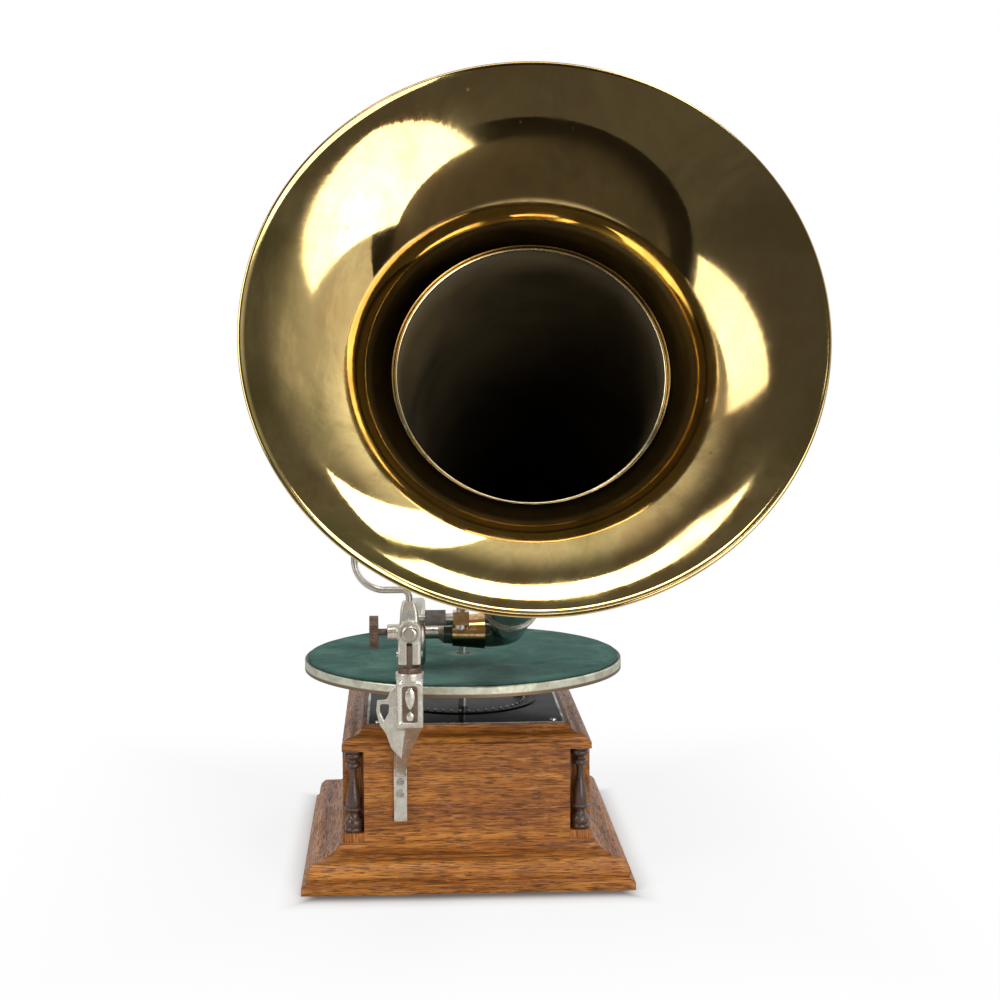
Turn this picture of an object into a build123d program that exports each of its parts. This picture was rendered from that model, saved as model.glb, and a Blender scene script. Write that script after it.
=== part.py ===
import os
from math import acos, cos, degrees, pi, radians, sin, sqrt, tan

from build123d import *

os.makedirs("parts", exist_ok=True)

# The spindle stands at x = 0, y = 0, the front faces -Y, and z = 0 is the surface the case stands on.

# Fits
running_gap = 0.05          # shaft radius to bearing radius
free_gap = 0.3              # curved faces that move past each other
seat_gap = 0.1              # pieces that sit round a curved piece

# Case
base_width = 252.8
base_depth = 270.8
case_setback = 18.6         # case centre behind the spindle
band_height = 6.0
band_chamfer = 4.6
ovolo_inset = 3.7
ovolo_height = 15.1
fillet_inset = 17.4
fillet_height = 24.7
body_inset = 30.7
body_bottom = 32.5
panel_height = 70.3
panel_thickness = 9.0
board_thickness = 9.0
base_rim_width = 44.0
corner_notch = 16.6
plinth_height = 6.3
post_width = 17.0
cornice_face_height = 4.8
cornice_height = 16.6
plate_inset = 49.4
cornice_ledge = 9.0
cornice_lip = 3.2
plate_thickness = 3.0

half_width = base_width / 2
half_depth = base_depth / 2
body_x = half_width - body_inset
body_front = case_setback - half_depth + body_inset
body_back = case_setback + half_depth - body_inset
cornice_bottom = body_bottom + panel_height
plate_top = cornice_bottom + cornice_height
plate_bottom = plate_top - plate_thickness
plate_x = half_width - plate_inset
plate_front = case_setback - half_depth + plate_inset
plate_back = case_setback + half_depth - plate_inset
notch_centre_x = body_x - corner_notch / 2

# Turned columns
column_radius = 7.2
column_height = panel_height - plinth_height

# Turntable
turntable_radius = 127.0
turntable_thickness = 5.0
turntable_lip = 3.6
turntable_lip_width = 3.0
turntable_edge_radius = 1.2
felt_radius = 125.0
felt_thickness = 1.5
turntable_clearance = 32.8  # motor plate to the turntable's lip
hub_radius = 15.0
hub_height = 12.0
record_pin_radius = 3.55
record_pin_height = 11.5
pin_neck_radius = 3.3       # relief below the record pin
pin_neck_height = 0.5
felt_hole_radius = 5.0
spindle_radius = 4.0

lip_bottom = plate_top + turntable_clearance
disc_bottom = lip_bottom + turntable_lip
disc_top = disc_bottom + turntable_thickness
felt_top = disc_top + felt_thickness
hub_bottom = disc_bottom - hub_height

# Motor
gear_module = 1.0
great_teeth = 72
middle_teeth = 60
pinion_teeth = 12
worm_wheel_teeth = 30
gear_backlash = 0.3
tooth_addendum = 0.8        # times the module
tooth_dedendum = 1.15
pressure_angle = 20.0
middle_arbor_angle = 120.0
barrel_angle = 60.0
frame_plate_bottom = 18.0
frame_plate_thickness = 3.0
pillar_radius = 4.0
great_wheel_bottom = 27.0
great_wheel_thickness = 4.0
drum_radius = 32.0
drum_height = 28.0
drum_wall = 1.6
cover_thickness = 1.6
arbor_radius = 4.0
middle_arbor_radius = 2.5
bevel_wheel_radius = 18.0
bevel_pinion_radius = 10.0
middle_wheel_bottom = 90.0
middle_wheel_thickness = 3.0
ratchet_teeth = 24
ratchet_radius = 9.0
ratchet_tooth_depth = 1.6
ratchet_thickness = 3.0
pawl_length = 16.0
governor_shaft_radius = 2.0
worm_radius = 4.0
worm_wheel_height = 60.0
worm_wheel_thickness = 4.0

frame_plate_top = frame_plate_bottom + frame_plate_thickness
middle_distance = gear_module * (pinion_teeth + middle_teeth) / 2
barrel_distance = gear_module * (pinion_teeth + great_teeth) / 2
middle_x = middle_distance * cos(radians(middle_arbor_angle))
middle_y = middle_distance * sin(radians(middle_arbor_angle))
barrel_x = middle_x + barrel_distance * cos(radians(barrel_angle))
barrel_y = middle_y + barrel_distance * sin(radians(barrel_angle))
drum_bottom = great_wheel_bottom + great_wheel_thickness
drum_top = drum_bottom + drum_height
cover_top = drum_top + cover_thickness
ratchet_root_radius = ratchet_radius - ratchet_tooth_depth

# Winding crank, at the back
crank_height = 76.0
crank_shaft_radius = 4.0
crank_arm_length = 58.0
crank_grip_length = 44.0
crank_grip_radius = 9.0
crank_reach = 42.0          # panel to the arm
escutcheon_radius = 13.0
escutcheon_thickness = 1.6
bushing_wall = 2.0

# Brake and speed control, behind the spindle on the motor plate
brake_post_x = -54.0
brake_post_y = 72.0
brake_post_radius = 3.0
brake_pad_width = 8.0
speed_knob_x = 52.0
speed_knob_y = 78.0
speed_knob_radius = 7.0
speed_knob_height = 7.0
speed_knob_rise = 4.0       # knob above the motor plate
speed_stem_radius = 2.0
speed_stem_drop = 8.0       # stem below the motor plate
knurl_radius = 0.35

# Front bracket
bracket_x = -43.6
bracket_y = -150.0
foot_offset = 7.6           # foot to the left of the socket
foot_width = 10.2
foot_rise = 16.5            # foot above the body's bottom edge
foot_height = 41.0
foot_thickness = 4.0
socket_width = 19.4
socket_depth = 18.0
socket_rise = 18.4          # socket above the motor plate
socket_height = 33.6
socket_corner_radius = 2.4
flange_radius = 10.4
flange_height = 5.6
swivel_radius = 5.0
swivel_depth = 30.0
scroll_thickness = 5.0

foot_x = bracket_x - foot_offset
foot_bottom = body_bottom + foot_rise
foot_top = foot_bottom + foot_height
socket_bottom = plate_top + socket_rise
socket_top = socket_bottom + socket_height
flange_top = socket_top + flange_height

# Swivel post, fork and rods
collar_height = 4.0
collar_radius = 8.6
tongue_width = 3.4
tongue_depth = 12.0
tongue_rise = 7.0           # tongue's top above the pivot
pivot_rise = 13.0           # pivot above the flange
pivot_radius = 1.6
pivot_head_radius = 2.4
pivot_head_height = 1.2
fork_width = 16.6
fork_depth = 13.0
fork_rise = 6.4             # fork's cheeks above the flange
fork_slot_width = 4.0
fork_slot_rise = 10.0       # slot's end above the pivot
boss_rise = 16.7            # arm rod above the pivot
boss_radius = 8.6
boss_length = 17.0
upright_rise = 22.3         # upright's top above the arm rod
upright_width = 12.5
arm_rod_radius = 5.0
arm_rod_head = 6.4
clamp_reach = 31.2          # cross bar in front of the elbow
thumb_disc_radius = 11.8
thumb_disc_width = 6.4
thumb_reach = 28.8          # thumb disc to the left of the upright
thumb_collar_reach = 16.0
crane_wire_radius = 2.4
crane_reach = 39.2          # wire to the left of the upright
crane_low_rise = 8.4
crane_height = 48.6
crane_bend = 22.0
crane_foot_bend = 5.0
crane_end_bend = 14.0

# Horn: two coaxial shells on a slanted axis
bell_offset = 13.0          # bell's mouth to the right of the spindle
bell_reach = 650.0          # in front of the spindle
bell_height = 434.0
horn_azimuth = -2.0
horn_elevation = 22.4
bell_radius = 135.1
bell_depth = 62.2
bell_throat_radius = 66.0
bell_wall = 0.9
bell_bead_radius = 1.7
horn_wall = 0.8
horn_throat_radius = 12.6
bell_collar_length = 9.0

# Elbow and sound box
elbow_clearance = 28.7      # elbow's axis above the felt
elbow_bend_radius = 16.0
elbow_length = 50.6
elbow_end_radius = 9.3
elbow_wall = 1.2
ferrule_radius = 5.8
ferrule_length = 14.0
sound_box_radius = 26.0
sound_box_depth = 10.0
bezel_width = 4.0
bezel_thickness = 2.0
diaphragm_thickness = 0.4
needle_angle = -50.0
record_thickness = 2.2
needle_radius = 0.7
needle_tip_radius = 0.15
clamp_width = 25.0
clamp_offset = 6.7          # elbow's end to the clamp
clamp_wall = 1.5
crossbar_radius = 3.4
sleeve_radius = 6.0
sleeve_length = 15.6
sleeve_offset = 5.7         # sleeve to the clamp

horn_axis = Vector(
    sin(radians(horn_azimuth)) * cos(radians(horn_elevation)),
    -cos(radians(horn_azimuth)) * cos(radians(horn_elevation)),
    sin(radians(horn_elevation)),
)
bell_centre = Vector(bell_offset, -bell_reach, bell_height)
horn_side = Vector(0, 0, 1).cross(horn_axis).normalized()
elbow_height = felt_top + elbow_clearance
elbow_depth = (bell_centre.Z - elbow_height) / horn_axis.Z
elbow_corner = bell_centre - horn_axis * elbow_depth
elbow_x = elbow_corner.X
elbow_y = elbow_corner.Y
elbow_end_x = elbow_x - elbow_length
elbow_turn = degrees(acos(horn_axis.X))
bend_tangent = elbow_bend_radius * tan(radians(elbow_turn / 2))
horn_throat_depth = elbow_depth - bend_tangent
horn_taper = (bell_throat_radius - horn_throat_radius) / (horn_throat_depth - bell_depth)
horn_profile_plane = Plane(origin=bell_centre, x_dir=horn_side, z_dir=horn_side.cross(horn_axis))

pivot_height = flange_top + pivot_rise
fork_bottom = flange_top + fork_rise
fork_slot_top = pivot_height + fork_slot_rise
boss_height = pivot_height + boss_rise
upright_top = boss_height + upright_rise
arm_rod_back = elbow_y - clamp_reach
clamp_left = elbow_end_x + clamp_offset
thumb_disc_x = bracket_x - thumb_reach
thumb_collar_x = bracket_x - thumb_collar_reach
crane_left = bracket_x - crane_reach
crane_low = upright_top + crane_low_rise
crane_high = crane_low + crane_height


def face_plane(y):
    # Upright plane whose normal points to the front
    return Plane(origin=(0, y, 0), x_dir=(1, 0, 0), z_dir=(0, -1, 0))


def side_plane(x):
    # Upright plane whose normal points to the right
    return Plane(origin=(x, 0, 0), x_dir=(0, 1, 0), z_dir=(1, 0, 0))


def horn_radius(depth):
    # Outer radius of the cone, depth measured back from the bell's mouth
    return horn_throat_radius + (horn_throat_depth - depth) * horn_taper


def gear_outline(teeth):
    # Involute teeth thinned by the backlash, with a short addendum
    pitch = gear_module * teeth / 2
    tip = pitch + tooth_addendum * gear_module
    root = pitch - tooth_dedendum * gear_module
    base = pitch * cos(radians(pressure_angle))

    def involute(radius):
        if radius <= base:
            return 0.0
        return sqrt((radius / base) ** 2 - 1) - acos(base / radius)

    half = pi / (2 * teeth) - gear_backlash / (2 * pitch) + involute(pitch)
    flank = [root, max(base, root + 0.1), pitch, tip]
    points = []
    for tooth in range(teeth):
        middle = 2 * pi * tooth / teeth
        rising = [(radius, middle - half + involute(radius)) for radius in flank]
        falling = [(radius, middle + half - involute(radius)) for radius in reversed(flank)]
        points += [(radius * cos(angle), radius * sin(angle)) for radius, angle in rising + falling]
    return points


def ratchet_outline():
    # Saw teeth, steep on one side
    points = []
    for tooth in range(ratchet_teeth):
        start = 2 * pi * tooth / ratchet_teeth
        step = 2 * pi / ratchet_teeth
        notch = start + 0.1 * step
        points.append((ratchet_radius * cos(start), ratchet_radius * sin(start)))
        points.append((ratchet_root_radius * cos(notch), ratchet_root_radius * sin(notch)))
    return points


# Bottom board, inside the base moulding and flush with its foot
board_x = half_width - base_rim_width
board_half_depth = half_depth - base_rim_width

with BuildPart() as bottom_board:
    with BuildSketch(Plane.XY):
        with Locations((0, case_setback)):
            Rectangle(2 * board_x, 2 * board_half_depth)
    extrude(amount=board_thickness)

bottom_board.part.label = "bottom_board"
export_step(bottom_board.part, "parts/bottom_board.step")


# Mouldings: each is four lengths, mitred at the corners
def mitred_frame(profile):
    lengths = []
    for turn in range(4):
        half_across, half_length = (half_width, half_depth) if turn % 2 == 0 else (half_depth, half_width)
        out = Vector(cos(radians(90 * turn)), sin(radians(90 * turn)), 0)
        along = out.cross(Vector(0, 0, 1))
        centre = Vector(0, case_setback, 0)
        with BuildPart() as length:
            with BuildSketch(Plane(origin=centre, x_dir=out, z_dir=along)):
                with BuildLine():
                    profile(half_across)
                make_face()
            extrude(amount=half_length, both=True)
            for end in (1, -1):
                corner = centre + out * half_across + along * (end * half_length)
                split(bisect_by=Plane(origin=corner, z_dir=out - along * end), keep=Keep.TOP)
        lengths.append(length.part)
    return lengths


def base_profile(outer):
    chamfer_foot = (outer, band_height)
    chamfer_head = (outer - band_chamfer, band_height + 3.0)
    ovolo_side = (outer - ovolo_inset, ovolo_height)
    ovolo_shoulder = (outer - ovolo_inset - 2.7, ovolo_height + 5.0)
    ovolo_end = (outer - ovolo_inset - 8.6, ovolo_height + 7.8)
    fillet_top = (outer - fillet_inset, fillet_height)
    cove_end = (outer - body_inset + 2.4, body_bottom - 1.6)
    Polyline((outer - base_rim_width, 0), (outer, 0), chamfer_foot, chamfer_head)
    ThreePointArc(chamfer_head, ovolo_side, ovolo_shoulder)
    ThreePointArc(ovolo_shoulder, (outer - ovolo_inset - 4.9, ovolo_height + 7.0), ovolo_end)
    Polyline(ovolo_end, (outer - fillet_inset, ovolo_height + 7.8), fillet_top)
    ThreePointArc(fillet_top, (outer - fillet_inset - 6.2, fillet_height + 2.0), cove_end)
    Polyline(
        cove_end,
        (outer - body_inset + 2.4, body_bottom),
        (outer - base_rim_width, body_bottom),
        (outer - base_rim_width, 0),
    )


def cornice_profile(outer):
    face_top = (outer - body_inset, cornice_bottom + cornice_face_height)
    step = (outer - body_inset - 1.6, cornice_bottom + cornice_face_height + 0.9)
    turn = (outer - body_inset - 7.9, cornice_bottom + 0.61 * cornice_height)
    cove_end = (outer - plate_inset + cornice_lip, plate_top - 1.6)
    ledge_bottom = (outer - plate_inset - cornice_ledge, cornice_bottom)
    Polyline(ledge_bottom, (outer - body_inset, cornice_bottom), face_top, step)
    ThreePointArc(step, (outer - body_inset - 3.7, cornice_bottom + 0.53 * cornice_height), turn)
    ThreePointArc(turn, (outer - body_inset - 12.8, cornice_bottom + 0.68 * cornice_height), cove_end)
    Polyline(
        cove_end,
        (outer - plate_inset + cornice_lip, plate_top),
        (outer - plate_inset, plate_top),
        (outer - plate_inset, plate_bottom),
        (outer - plate_inset - cornice_ledge, plate_bottom),
        (outer - plate_inset - cornice_ledge, cornice_bottom),
    )


with BuildPart() as base_moulding:
    add(mitred_frame(base_profile))

base_moulding.part.label = "base_moulding"
export_step(base_moulding.part, "parts/base_moulding.step")

with BuildPart() as cornice:
    add(mitred_frame(cornice_profile))

cornice.part.label = "cornice"
export_step(cornice.part, "parts/cornice.step")

# Panels of the body
front_panel_x = body_x - corner_notch
side_panel_front = body_front + corner_notch
side_panel_back = body_back - corner_notch

with BuildPart() as front_panel:
    with BuildSketch(Plane.XY.offset(body_bottom)):
        with Locations((0, body_front + panel_thickness / 2)):
            Rectangle(2 * front_panel_x, panel_thickness)
    extrude(amount=panel_height)

front_panel.part.label = "front_panel"
export_step(front_panel.part, "parts/front_panel.step")

with BuildPart() as back_panel:
    with BuildSketch(Plane.XY.offset(body_bottom)):
        with Locations((0, body_back - panel_thickness / 2)):
            Rectangle(2 * front_panel_x, panel_thickness)
    extrude(amount=panel_height)
    with BuildSketch(face_plane(body_back)):
        with Locations((barrel_x, crank_height)):
            Circle(crank_shaft_radius + bushing_wall)
    extrude(amount=panel_thickness, mode=Mode.SUBTRACT)

back_panel.part.label = "back_panel"
export_step(back_panel.part, "parts/back_panel.step")


def side_panel(edge):
    # Panel whose outer face lies at the given edge of the body
    inward = -panel_thickness / 2 if edge > 0 else panel_thickness / 2
    with BuildPart() as panel:
        with BuildSketch(Plane.XY.offset(body_bottom)):
            with Locations((edge + inward, (side_panel_front + side_panel_back) / 2)):
                Rectangle(panel_thickness, side_panel_back - side_panel_front)
        extrude(amount=panel_height)
    return panel.part


with BuildPart() as right_panel:
    add(side_panel(body_x))

right_panel.part.label = "right_panel"
export_step(right_panel.part, "parts/right_panel.step")

with BuildPart() as left_panel:
    add(side_panel(-body_x))

left_panel.part.label = "left_panel"
export_step(left_panel.part, "parts/left_panel.step")

# Corner posts close the notches from inside, with the plinths that the columns stand on
notch_centre_front = body_front + corner_notch / 2
notch_centre_back = body_back - corner_notch / 2
notch_centres = [
    (notch_centre_x, notch_centre_front),
    (-notch_centre_x, notch_centre_front),
    (notch_centre_x, notch_centre_back),
    (-notch_centre_x, notch_centre_back),
]

with BuildPart() as corner_posts:
    with BuildSketch(Plane.XY.offset(body_bottom)):
        post_side = body_x - panel_thickness
        post_front = body_front + panel_thickness
        with BuildLine():
            Polyline(
                (front_panel_x, post_front),
                (front_panel_x, side_panel_front),
                (post_side, side_panel_front),
                (post_side, post_front + post_width),
                (post_side - post_width, post_front + post_width),
                (post_side - post_width, post_front),
                close=True,
            )
        make_face()
        mirror(about=Plane.YZ)
        mirror(about=Plane.XZ.offset(-case_setback))
    extrude(amount=panel_height)
    with BuildSketch(Plane.XY.offset(body_bottom)):
        with Locations(*notch_centres):
            Rectangle(corner_notch, corner_notch)
    extrude(amount=plinth_height)

corner_posts.part.label = "corner_posts"
export_step(corner_posts.part, "parts/corner_posts.step")


def column_profile(r, h):
    # Half outline of a turned column of greatest radius r and height h
    Line((0, 0), (0.92 * r, 0))
    ThreePointArc((0.92 * r, 0), (r, 0.028 * h), (0.92 * r, 0.056 * h))
    ThreePointArc((0.92 * r, 0.056 * h), (r, 0.105 * h), (0.86 * r, 0.155 * h))
    ThreePointArc((0.86 * r, 0.155 * h), (0.62 * r, 0.195 * h), (0.6 * r, 0.235 * h))
    Line((0.6 * r, 0.235 * h), (0.72 * r, 0.255 * h))
    ThreePointArc((0.72 * r, 0.255 * h), (r, 0.28 * h), (0.74 * r, 0.305 * h))
    Spline((0.74 * r, 0.305 * h), (0.76 * r, 0.33 * h), (0.52 * r, 0.55 * h), (0.44 * r, 0.78 * h))
    ThreePointArc((0.44 * r, 0.78 * h), (0.8 * r, 0.82 * h), (0.46 * r, 0.85 * h))
    ThreePointArc((0.46 * r, 0.85 * h), (0.5 * r, 0.88 * h), (0.7 * r, 0.9 * h))
    ThreePointArc((0.7 * r, 0.9 * h), (r, 0.935 * h), (0.86 * r, 0.965 * h))
    Polyline((0.86 * r, 0.965 * h), (r, 0.975 * h), (r, h), (0, h), (0, 0))


def turned_column(x, y):
    foot = Plane(origin=(x, y, body_bottom + plinth_height), x_dir=(1, 0, 0), z_dir=(0, -1, 0))
    with BuildPart() as column:
        with BuildSketch(foot):
            with BuildLine():
                column_profile(column_radius, column_height)
            make_face()
        revolve(axis=Axis((x, y, 0), (0, 0, 1)))
    return column.part


with BuildPart() as corner_columns:
    add([turned_column(x, y) for x, y in notch_centres])

corner_columns.part.label = "corner_columns"
export_step(corner_columns.part, "parts/corner_columns.step")

# Motor plate with a pressed ring, its holes, the pawl's stud below and the brake's post above
pressed_ring_y = 29.0
pressed_ring_radius = 60.0
pressed_ring_height = 0.9
pressed_ring_half_width = 1.6
trim_width = 1.8
trim_height = 0.5
plate_screw_inset = 9.0
plate_hole_radius = spindle_radius + running_gap
ratchet_drop = 2.0          # motor plate to the ratchet wheel
ratchet_bottom = plate_bottom - ratchet_thickness - ratchet_drop
stud_head_top = ratchet_bottom - free_gap
pawl_stud_radius = 1.8
pawl_stud_flange = 1.0
pawl_x = barrel_x + pawl_length
pawl_y = barrel_y - ratchet_radius - 1.0
pawl_tip_x = barrel_x + ratchet_tooth_depth
pawl_tip_y = barrel_y - ratchet_radius - free_gap
brake_lever_thickness = 2.0
brake_lever_drop = 1.2      # turntable's lip to the lever
brake_post_shoulder = 2.0
brake_post_head = 0.8
brake_lever_top = lip_bottom - brake_lever_drop
brake_lever_bottom = brake_lever_top - brake_lever_thickness
plate_middle_y = (plate_front + plate_back) / 2
plate_half_y = (plate_back - plate_front) / 2

with BuildPart() as motor_plate:
    with BuildSketch(Plane.XY.offset(plate_bottom)):
        with Locations((0, plate_middle_y)):
            Rectangle(2 * plate_x, 2 * plate_half_y)
        Circle(plate_hole_radius, mode=Mode.SUBTRACT)
        with Locations((barrel_x, barrel_y)):
            Circle(arbor_radius + running_gap, mode=Mode.SUBTRACT)
        with Locations((middle_x, middle_y)):
            Circle(middle_arbor_radius + running_gap, mode=Mode.SUBTRACT)
        with Locations((speed_knob_x, speed_knob_y)):
            Circle(speed_stem_radius + running_gap, mode=Mode.SUBTRACT)
    extrude(amount=plate_thickness)
    with BuildSketch(Plane.XY.offset(plate_top)):
        with Locations((0, pressed_ring_y)):
            Circle(pressed_ring_radius + pressed_ring_half_width)
            Circle(pressed_ring_radius - pressed_ring_half_width, mode=Mode.SUBTRACT)
    extrude(amount=pressed_ring_height, taper=40)
    with BuildSketch(Plane.XY.offset(stud_head_top)):
        with Locations((pawl_x, pawl_y)):
            Circle(pawl_stud_radius)
    extrude(amount=plate_bottom - stud_head_top)
    with BuildSketch(Plane.XY.offset(stud_head_top)):
        with Locations((pawl_x, pawl_y)):
            Circle(pawl_stud_radius + pawl_stud_flange)
    extrude(amount=-pawl_stud_flange)
    with BuildSketch(Plane.XY.offset(plate_top)):
        with Locations((brake_post_x, brake_post_y)):
            Circle(brake_post_radius + brake_post_shoulder)
    extrude(amount=brake_lever_bottom - plate_top - free_gap)
    with BuildSketch(Plane.XY.offset(plate_top)):
        with Locations((brake_post_x, brake_post_y)):
            Circle(brake_post_radius)
    extrude(amount=brake_lever_top - plate_top + brake_post_head)

motor_plate.part.label = "motor_plate"
export_step(motor_plate.part, "parts/motor_plate.step")

with BuildPart() as plate_trim:
    with BuildSketch(Plane.XY.offset(plate_top)):
        with Locations((0, plate_middle_y)):
            Rectangle(2 * plate_x, 2 * plate_half_y)
            Rectangle(2 * (plate_x - trim_width), 2 * (plate_half_y - trim_width), mode=Mode.SUBTRACT)
    extrude(amount=trim_height)

plate_trim.part.label = "plate_trim"
export_step(plate_trim.part, "parts/plate_trim.step")

screw_head_radius = 2.6
screw_head_height = 1.2
screw_slot_width = 0.6
screw_slot_depth = 0.5

with BuildPart() as plate_screws:
    corner_x = plate_x - plate_screw_inset
    corner_y = plate_half_y - plate_screw_inset
    with BuildSketch(Plane.XY.offset(plate_top)):
        with Locations((0, plate_middle_y)):
            with GridLocations(2 * corner_x, 2 * corner_y, 2, 2):
                Circle(screw_head_radius)
    extrude(amount=screw_head_height, taper=15)
    with BuildSketch(Plane.XY.offset(plate_top + screw_head_height)):
        with Locations((0, plate_middle_y)):
            with GridLocations(2 * corner_x, 2 * corner_y, 2, 2):
                Rectangle(2 * screw_head_radius, screw_slot_width, rotation=30)
    extrude(amount=-screw_slot_depth, mode=Mode.SUBTRACT)

plate_screws.part.label = "plate_screws"
export_step(plate_screws.part, "parts/plate_screws.step")

# Motor frame: lower plate hung from the motor plate by pillars
frame_left = -58.0
frame_right = 52.0
frame_front = plate_front + 15.4
frame_back = plate_back - 6.6
frame_corner_radius = 5.0
pillar_inset = 7.0
frame_middle = ((frame_left + frame_right) / 2, (frame_front + frame_back) / 2)
pillar_spacing_x = frame_right - frame_left - 2 * pillar_inset
pillar_spacing_y = frame_back - frame_front - 2 * pillar_inset

with BuildPart() as motor_frame_plate:
    with BuildSketch(Plane.XY.offset(frame_plate_bottom)):
        with Locations(frame_middle):
            RectangleRounded(frame_right - frame_left, frame_back - frame_front, frame_corner_radius)
        Circle(middle_arbor_radius + running_gap, mode=Mode.SUBTRACT)
        with Locations((barrel_x, barrel_y)):
            Circle(arbor_radius + running_gap, mode=Mode.SUBTRACT)
        with Locations((middle_x, middle_y)):
            Circle(middle_arbor_radius + running_gap, mode=Mode.SUBTRACT)
    extrude(amount=frame_plate_thickness)

motor_frame_plate.part.label = "motor_frame_plate"
export_step(motor_frame_plate.part, "parts/motor_frame_plate.step")

with BuildPart() as motor_pillars:
    with BuildSketch(Plane.XY.offset(frame_plate_top)):
        with Locations(frame_middle):
            with GridLocations(pillar_spacing_x, pillar_spacing_y, 2, 2):
                Circle(pillar_radius)
    extrude(amount=plate_bottom - frame_plate_top)

motor_pillars.part.label = "motor_pillars"
export_step(motor_pillars.part, "parts/motor_pillars.step")

# Spring barrel: drum with the great wheel, cover, mainspring
wheel_hole_count = 5
wheel_hole_radius = 6.0
great_hole_orbit = gear_module * great_teeth / 2 - 15.0
middle_hole_orbit = gear_module * middle_teeth / 2 - 13.0
arbor_top_drop = 0.6        # arbors end below the motor plate's top
with BuildPart() as great_wheel:
    with BuildSketch(Plane.XY.offset(great_wheel_bottom)):
        with Locations(Location((barrel_x, barrel_y), barrel_angle + 180 + 180 / great_teeth)):
            Polygon(*gear_outline(great_teeth), align=None)
        with Locations((barrel_x, barrel_y)):
            Circle(arbor_radius + running_gap, mode=Mode.SUBTRACT)
            with PolarLocations(great_hole_orbit, wheel_hole_count):
                Circle(wheel_hole_radius, mode=Mode.SUBTRACT)
    extrude(amount=great_wheel_thickness)

great_wheel.part.label = "great_wheel"
export_step(great_wheel.part, "parts/great_wheel.step")

with BuildPart() as barrel_drum:
    with BuildSketch(Plane.XY.offset(drum_bottom)):
        with Locations((barrel_x, barrel_y)):
            Circle(drum_radius)
            Circle(arbor_radius + running_gap, mode=Mode.SUBTRACT)
    extrude(amount=drum_height)
    with BuildSketch(Plane.XY.offset(drum_bottom + drum_wall)):
        with Locations((barrel_x, barrel_y)):
            Circle(drum_radius - drum_wall)
    extrude(amount=drum_height, mode=Mode.SUBTRACT)

barrel_drum.part.label = "barrel_drum"
export_step(barrel_drum.part, "parts/barrel_drum.step")

with BuildPart() as barrel_cover:
    with BuildSketch(Plane.XY.offset(drum_top)):
        with Locations((barrel_x, barrel_y)):
            Circle(drum_radius)
            Circle(arbor_radius + running_gap, mode=Mode.SUBTRACT)
    extrude(amount=cover_thickness)

barrel_cover.part.label = "barrel_cover"
export_step(barrel_cover.part, "parts/barrel_cover.step")

spring_turns = 7
spring_strip = 0.8
spring_outer_radius = drum_radius - drum_wall - 0.4
spring_inner_radius = 12.0
spring_side_gap = 1.0
points_per_turn = 24


def spiral_points(offset):
    # Points on the spiral, shifted outwards by the offset
    count = spring_turns * points_per_turn
    points = []
    for step in range(count + 1):
        angle = 2 * pi * step / points_per_turn
        radius = spring_outer_radius - (spring_outer_radius - spring_inner_radius) * step / count + offset
        points.append((barrel_x + radius * cos(angle), barrel_y + radius * sin(angle)))
    return points


with BuildPart() as mainspring:
    with BuildSketch(Plane.XY.offset(drum_bottom + drum_wall + spring_side_gap)):
        Polygon(*(spiral_points(0) + spiral_points(-spring_strip)[::-1]), align=None)
    extrude(amount=drum_height - drum_wall - 2 * spring_side_gap)

mainspring.part.label = "mainspring"
export_step(mainspring.part, "parts/mainspring.step")

# Winding arbor with its bevel wheel and ratchet wheel
bevel_wheel_bottom = cover_top + 1.4
bevel_pitch_height = crank_height - bevel_pinion_radius
bevel_rim_height = bevel_pitch_height - bevel_wheel_bottom - 1.2
bevel_teeth = 24
bevel_tooth_length = 5.0
bevel_tooth_width = 1.6
bevel_tooth_height = 1.0

with BuildPart() as winding_arbor:
    with BuildSketch(Plane.XY.offset(frame_plate_bottom)):
        with Locations((barrel_x, barrel_y)):
            Circle(arbor_radius)
    extrude(amount=plate_top - frame_plate_bottom - arbor_top_drop)

winding_arbor.part.label = "winding_arbor"
export_step(winding_arbor.part, "parts/winding_arbor.step")

with BuildPart() as bevel_wheel:
    with BuildSketch(Plane.XY.offset(bevel_wheel_bottom)):
        with Locations((barrel_x, barrel_y)):
            Circle(bevel_wheel_radius)
            Circle(arbor_radius, mode=Mode.SUBTRACT)
    extrude(amount=bevel_rim_height)
    with BuildSketch(Plane.XY.offset(bevel_wheel_bottom + bevel_rim_height)):
        with Locations((barrel_x, barrel_y)):
            with PolarLocations(bevel_wheel_radius - bevel_tooth_length / 2 - 0.5, bevel_teeth):
                Rectangle(bevel_tooth_length, bevel_tooth_width)
    extrude(amount=bevel_tooth_height)

bevel_wheel.part.label = "bevel_wheel"
export_step(bevel_wheel.part, "parts/bevel_wheel.step")

with BuildPart() as ratchet_wheel:
    with BuildSketch(Plane.XY.offset(ratchet_bottom)):
        with Locations((barrel_x, barrel_y)):
            Polygon(*ratchet_outline(), align=None)
            Circle(arbor_radius, mode=Mode.SUBTRACT)
    extrude(amount=ratchet_thickness)

ratchet_wheel.part.label = "ratchet_wheel"
export_step(ratchet_wheel.part, "parts/ratchet_wheel.step")

# Ratchet pawl on the motor plate's stud
pawl_hub_radius = 3.6

with BuildPart() as ratchet_pawl:
    with BuildSketch(Plane.XY.offset(ratchet_bottom)):
        with BuildLine():
            Polyline(
                (pawl_tip_x, pawl_tip_y),
                (pawl_x, pawl_y + pawl_hub_radius),
                (pawl_x, pawl_y - pawl_hub_radius),
                (pawl_tip_x + 1.0, pawl_tip_y - 2.4),
                close=True,
            )
        make_face()
        with Locations((pawl_x, pawl_y)):
            Circle(pawl_hub_radius)
            Circle(pawl_stud_radius + running_gap, mode=Mode.SUBTRACT)
    extrude(amount=ratchet_thickness)

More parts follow.
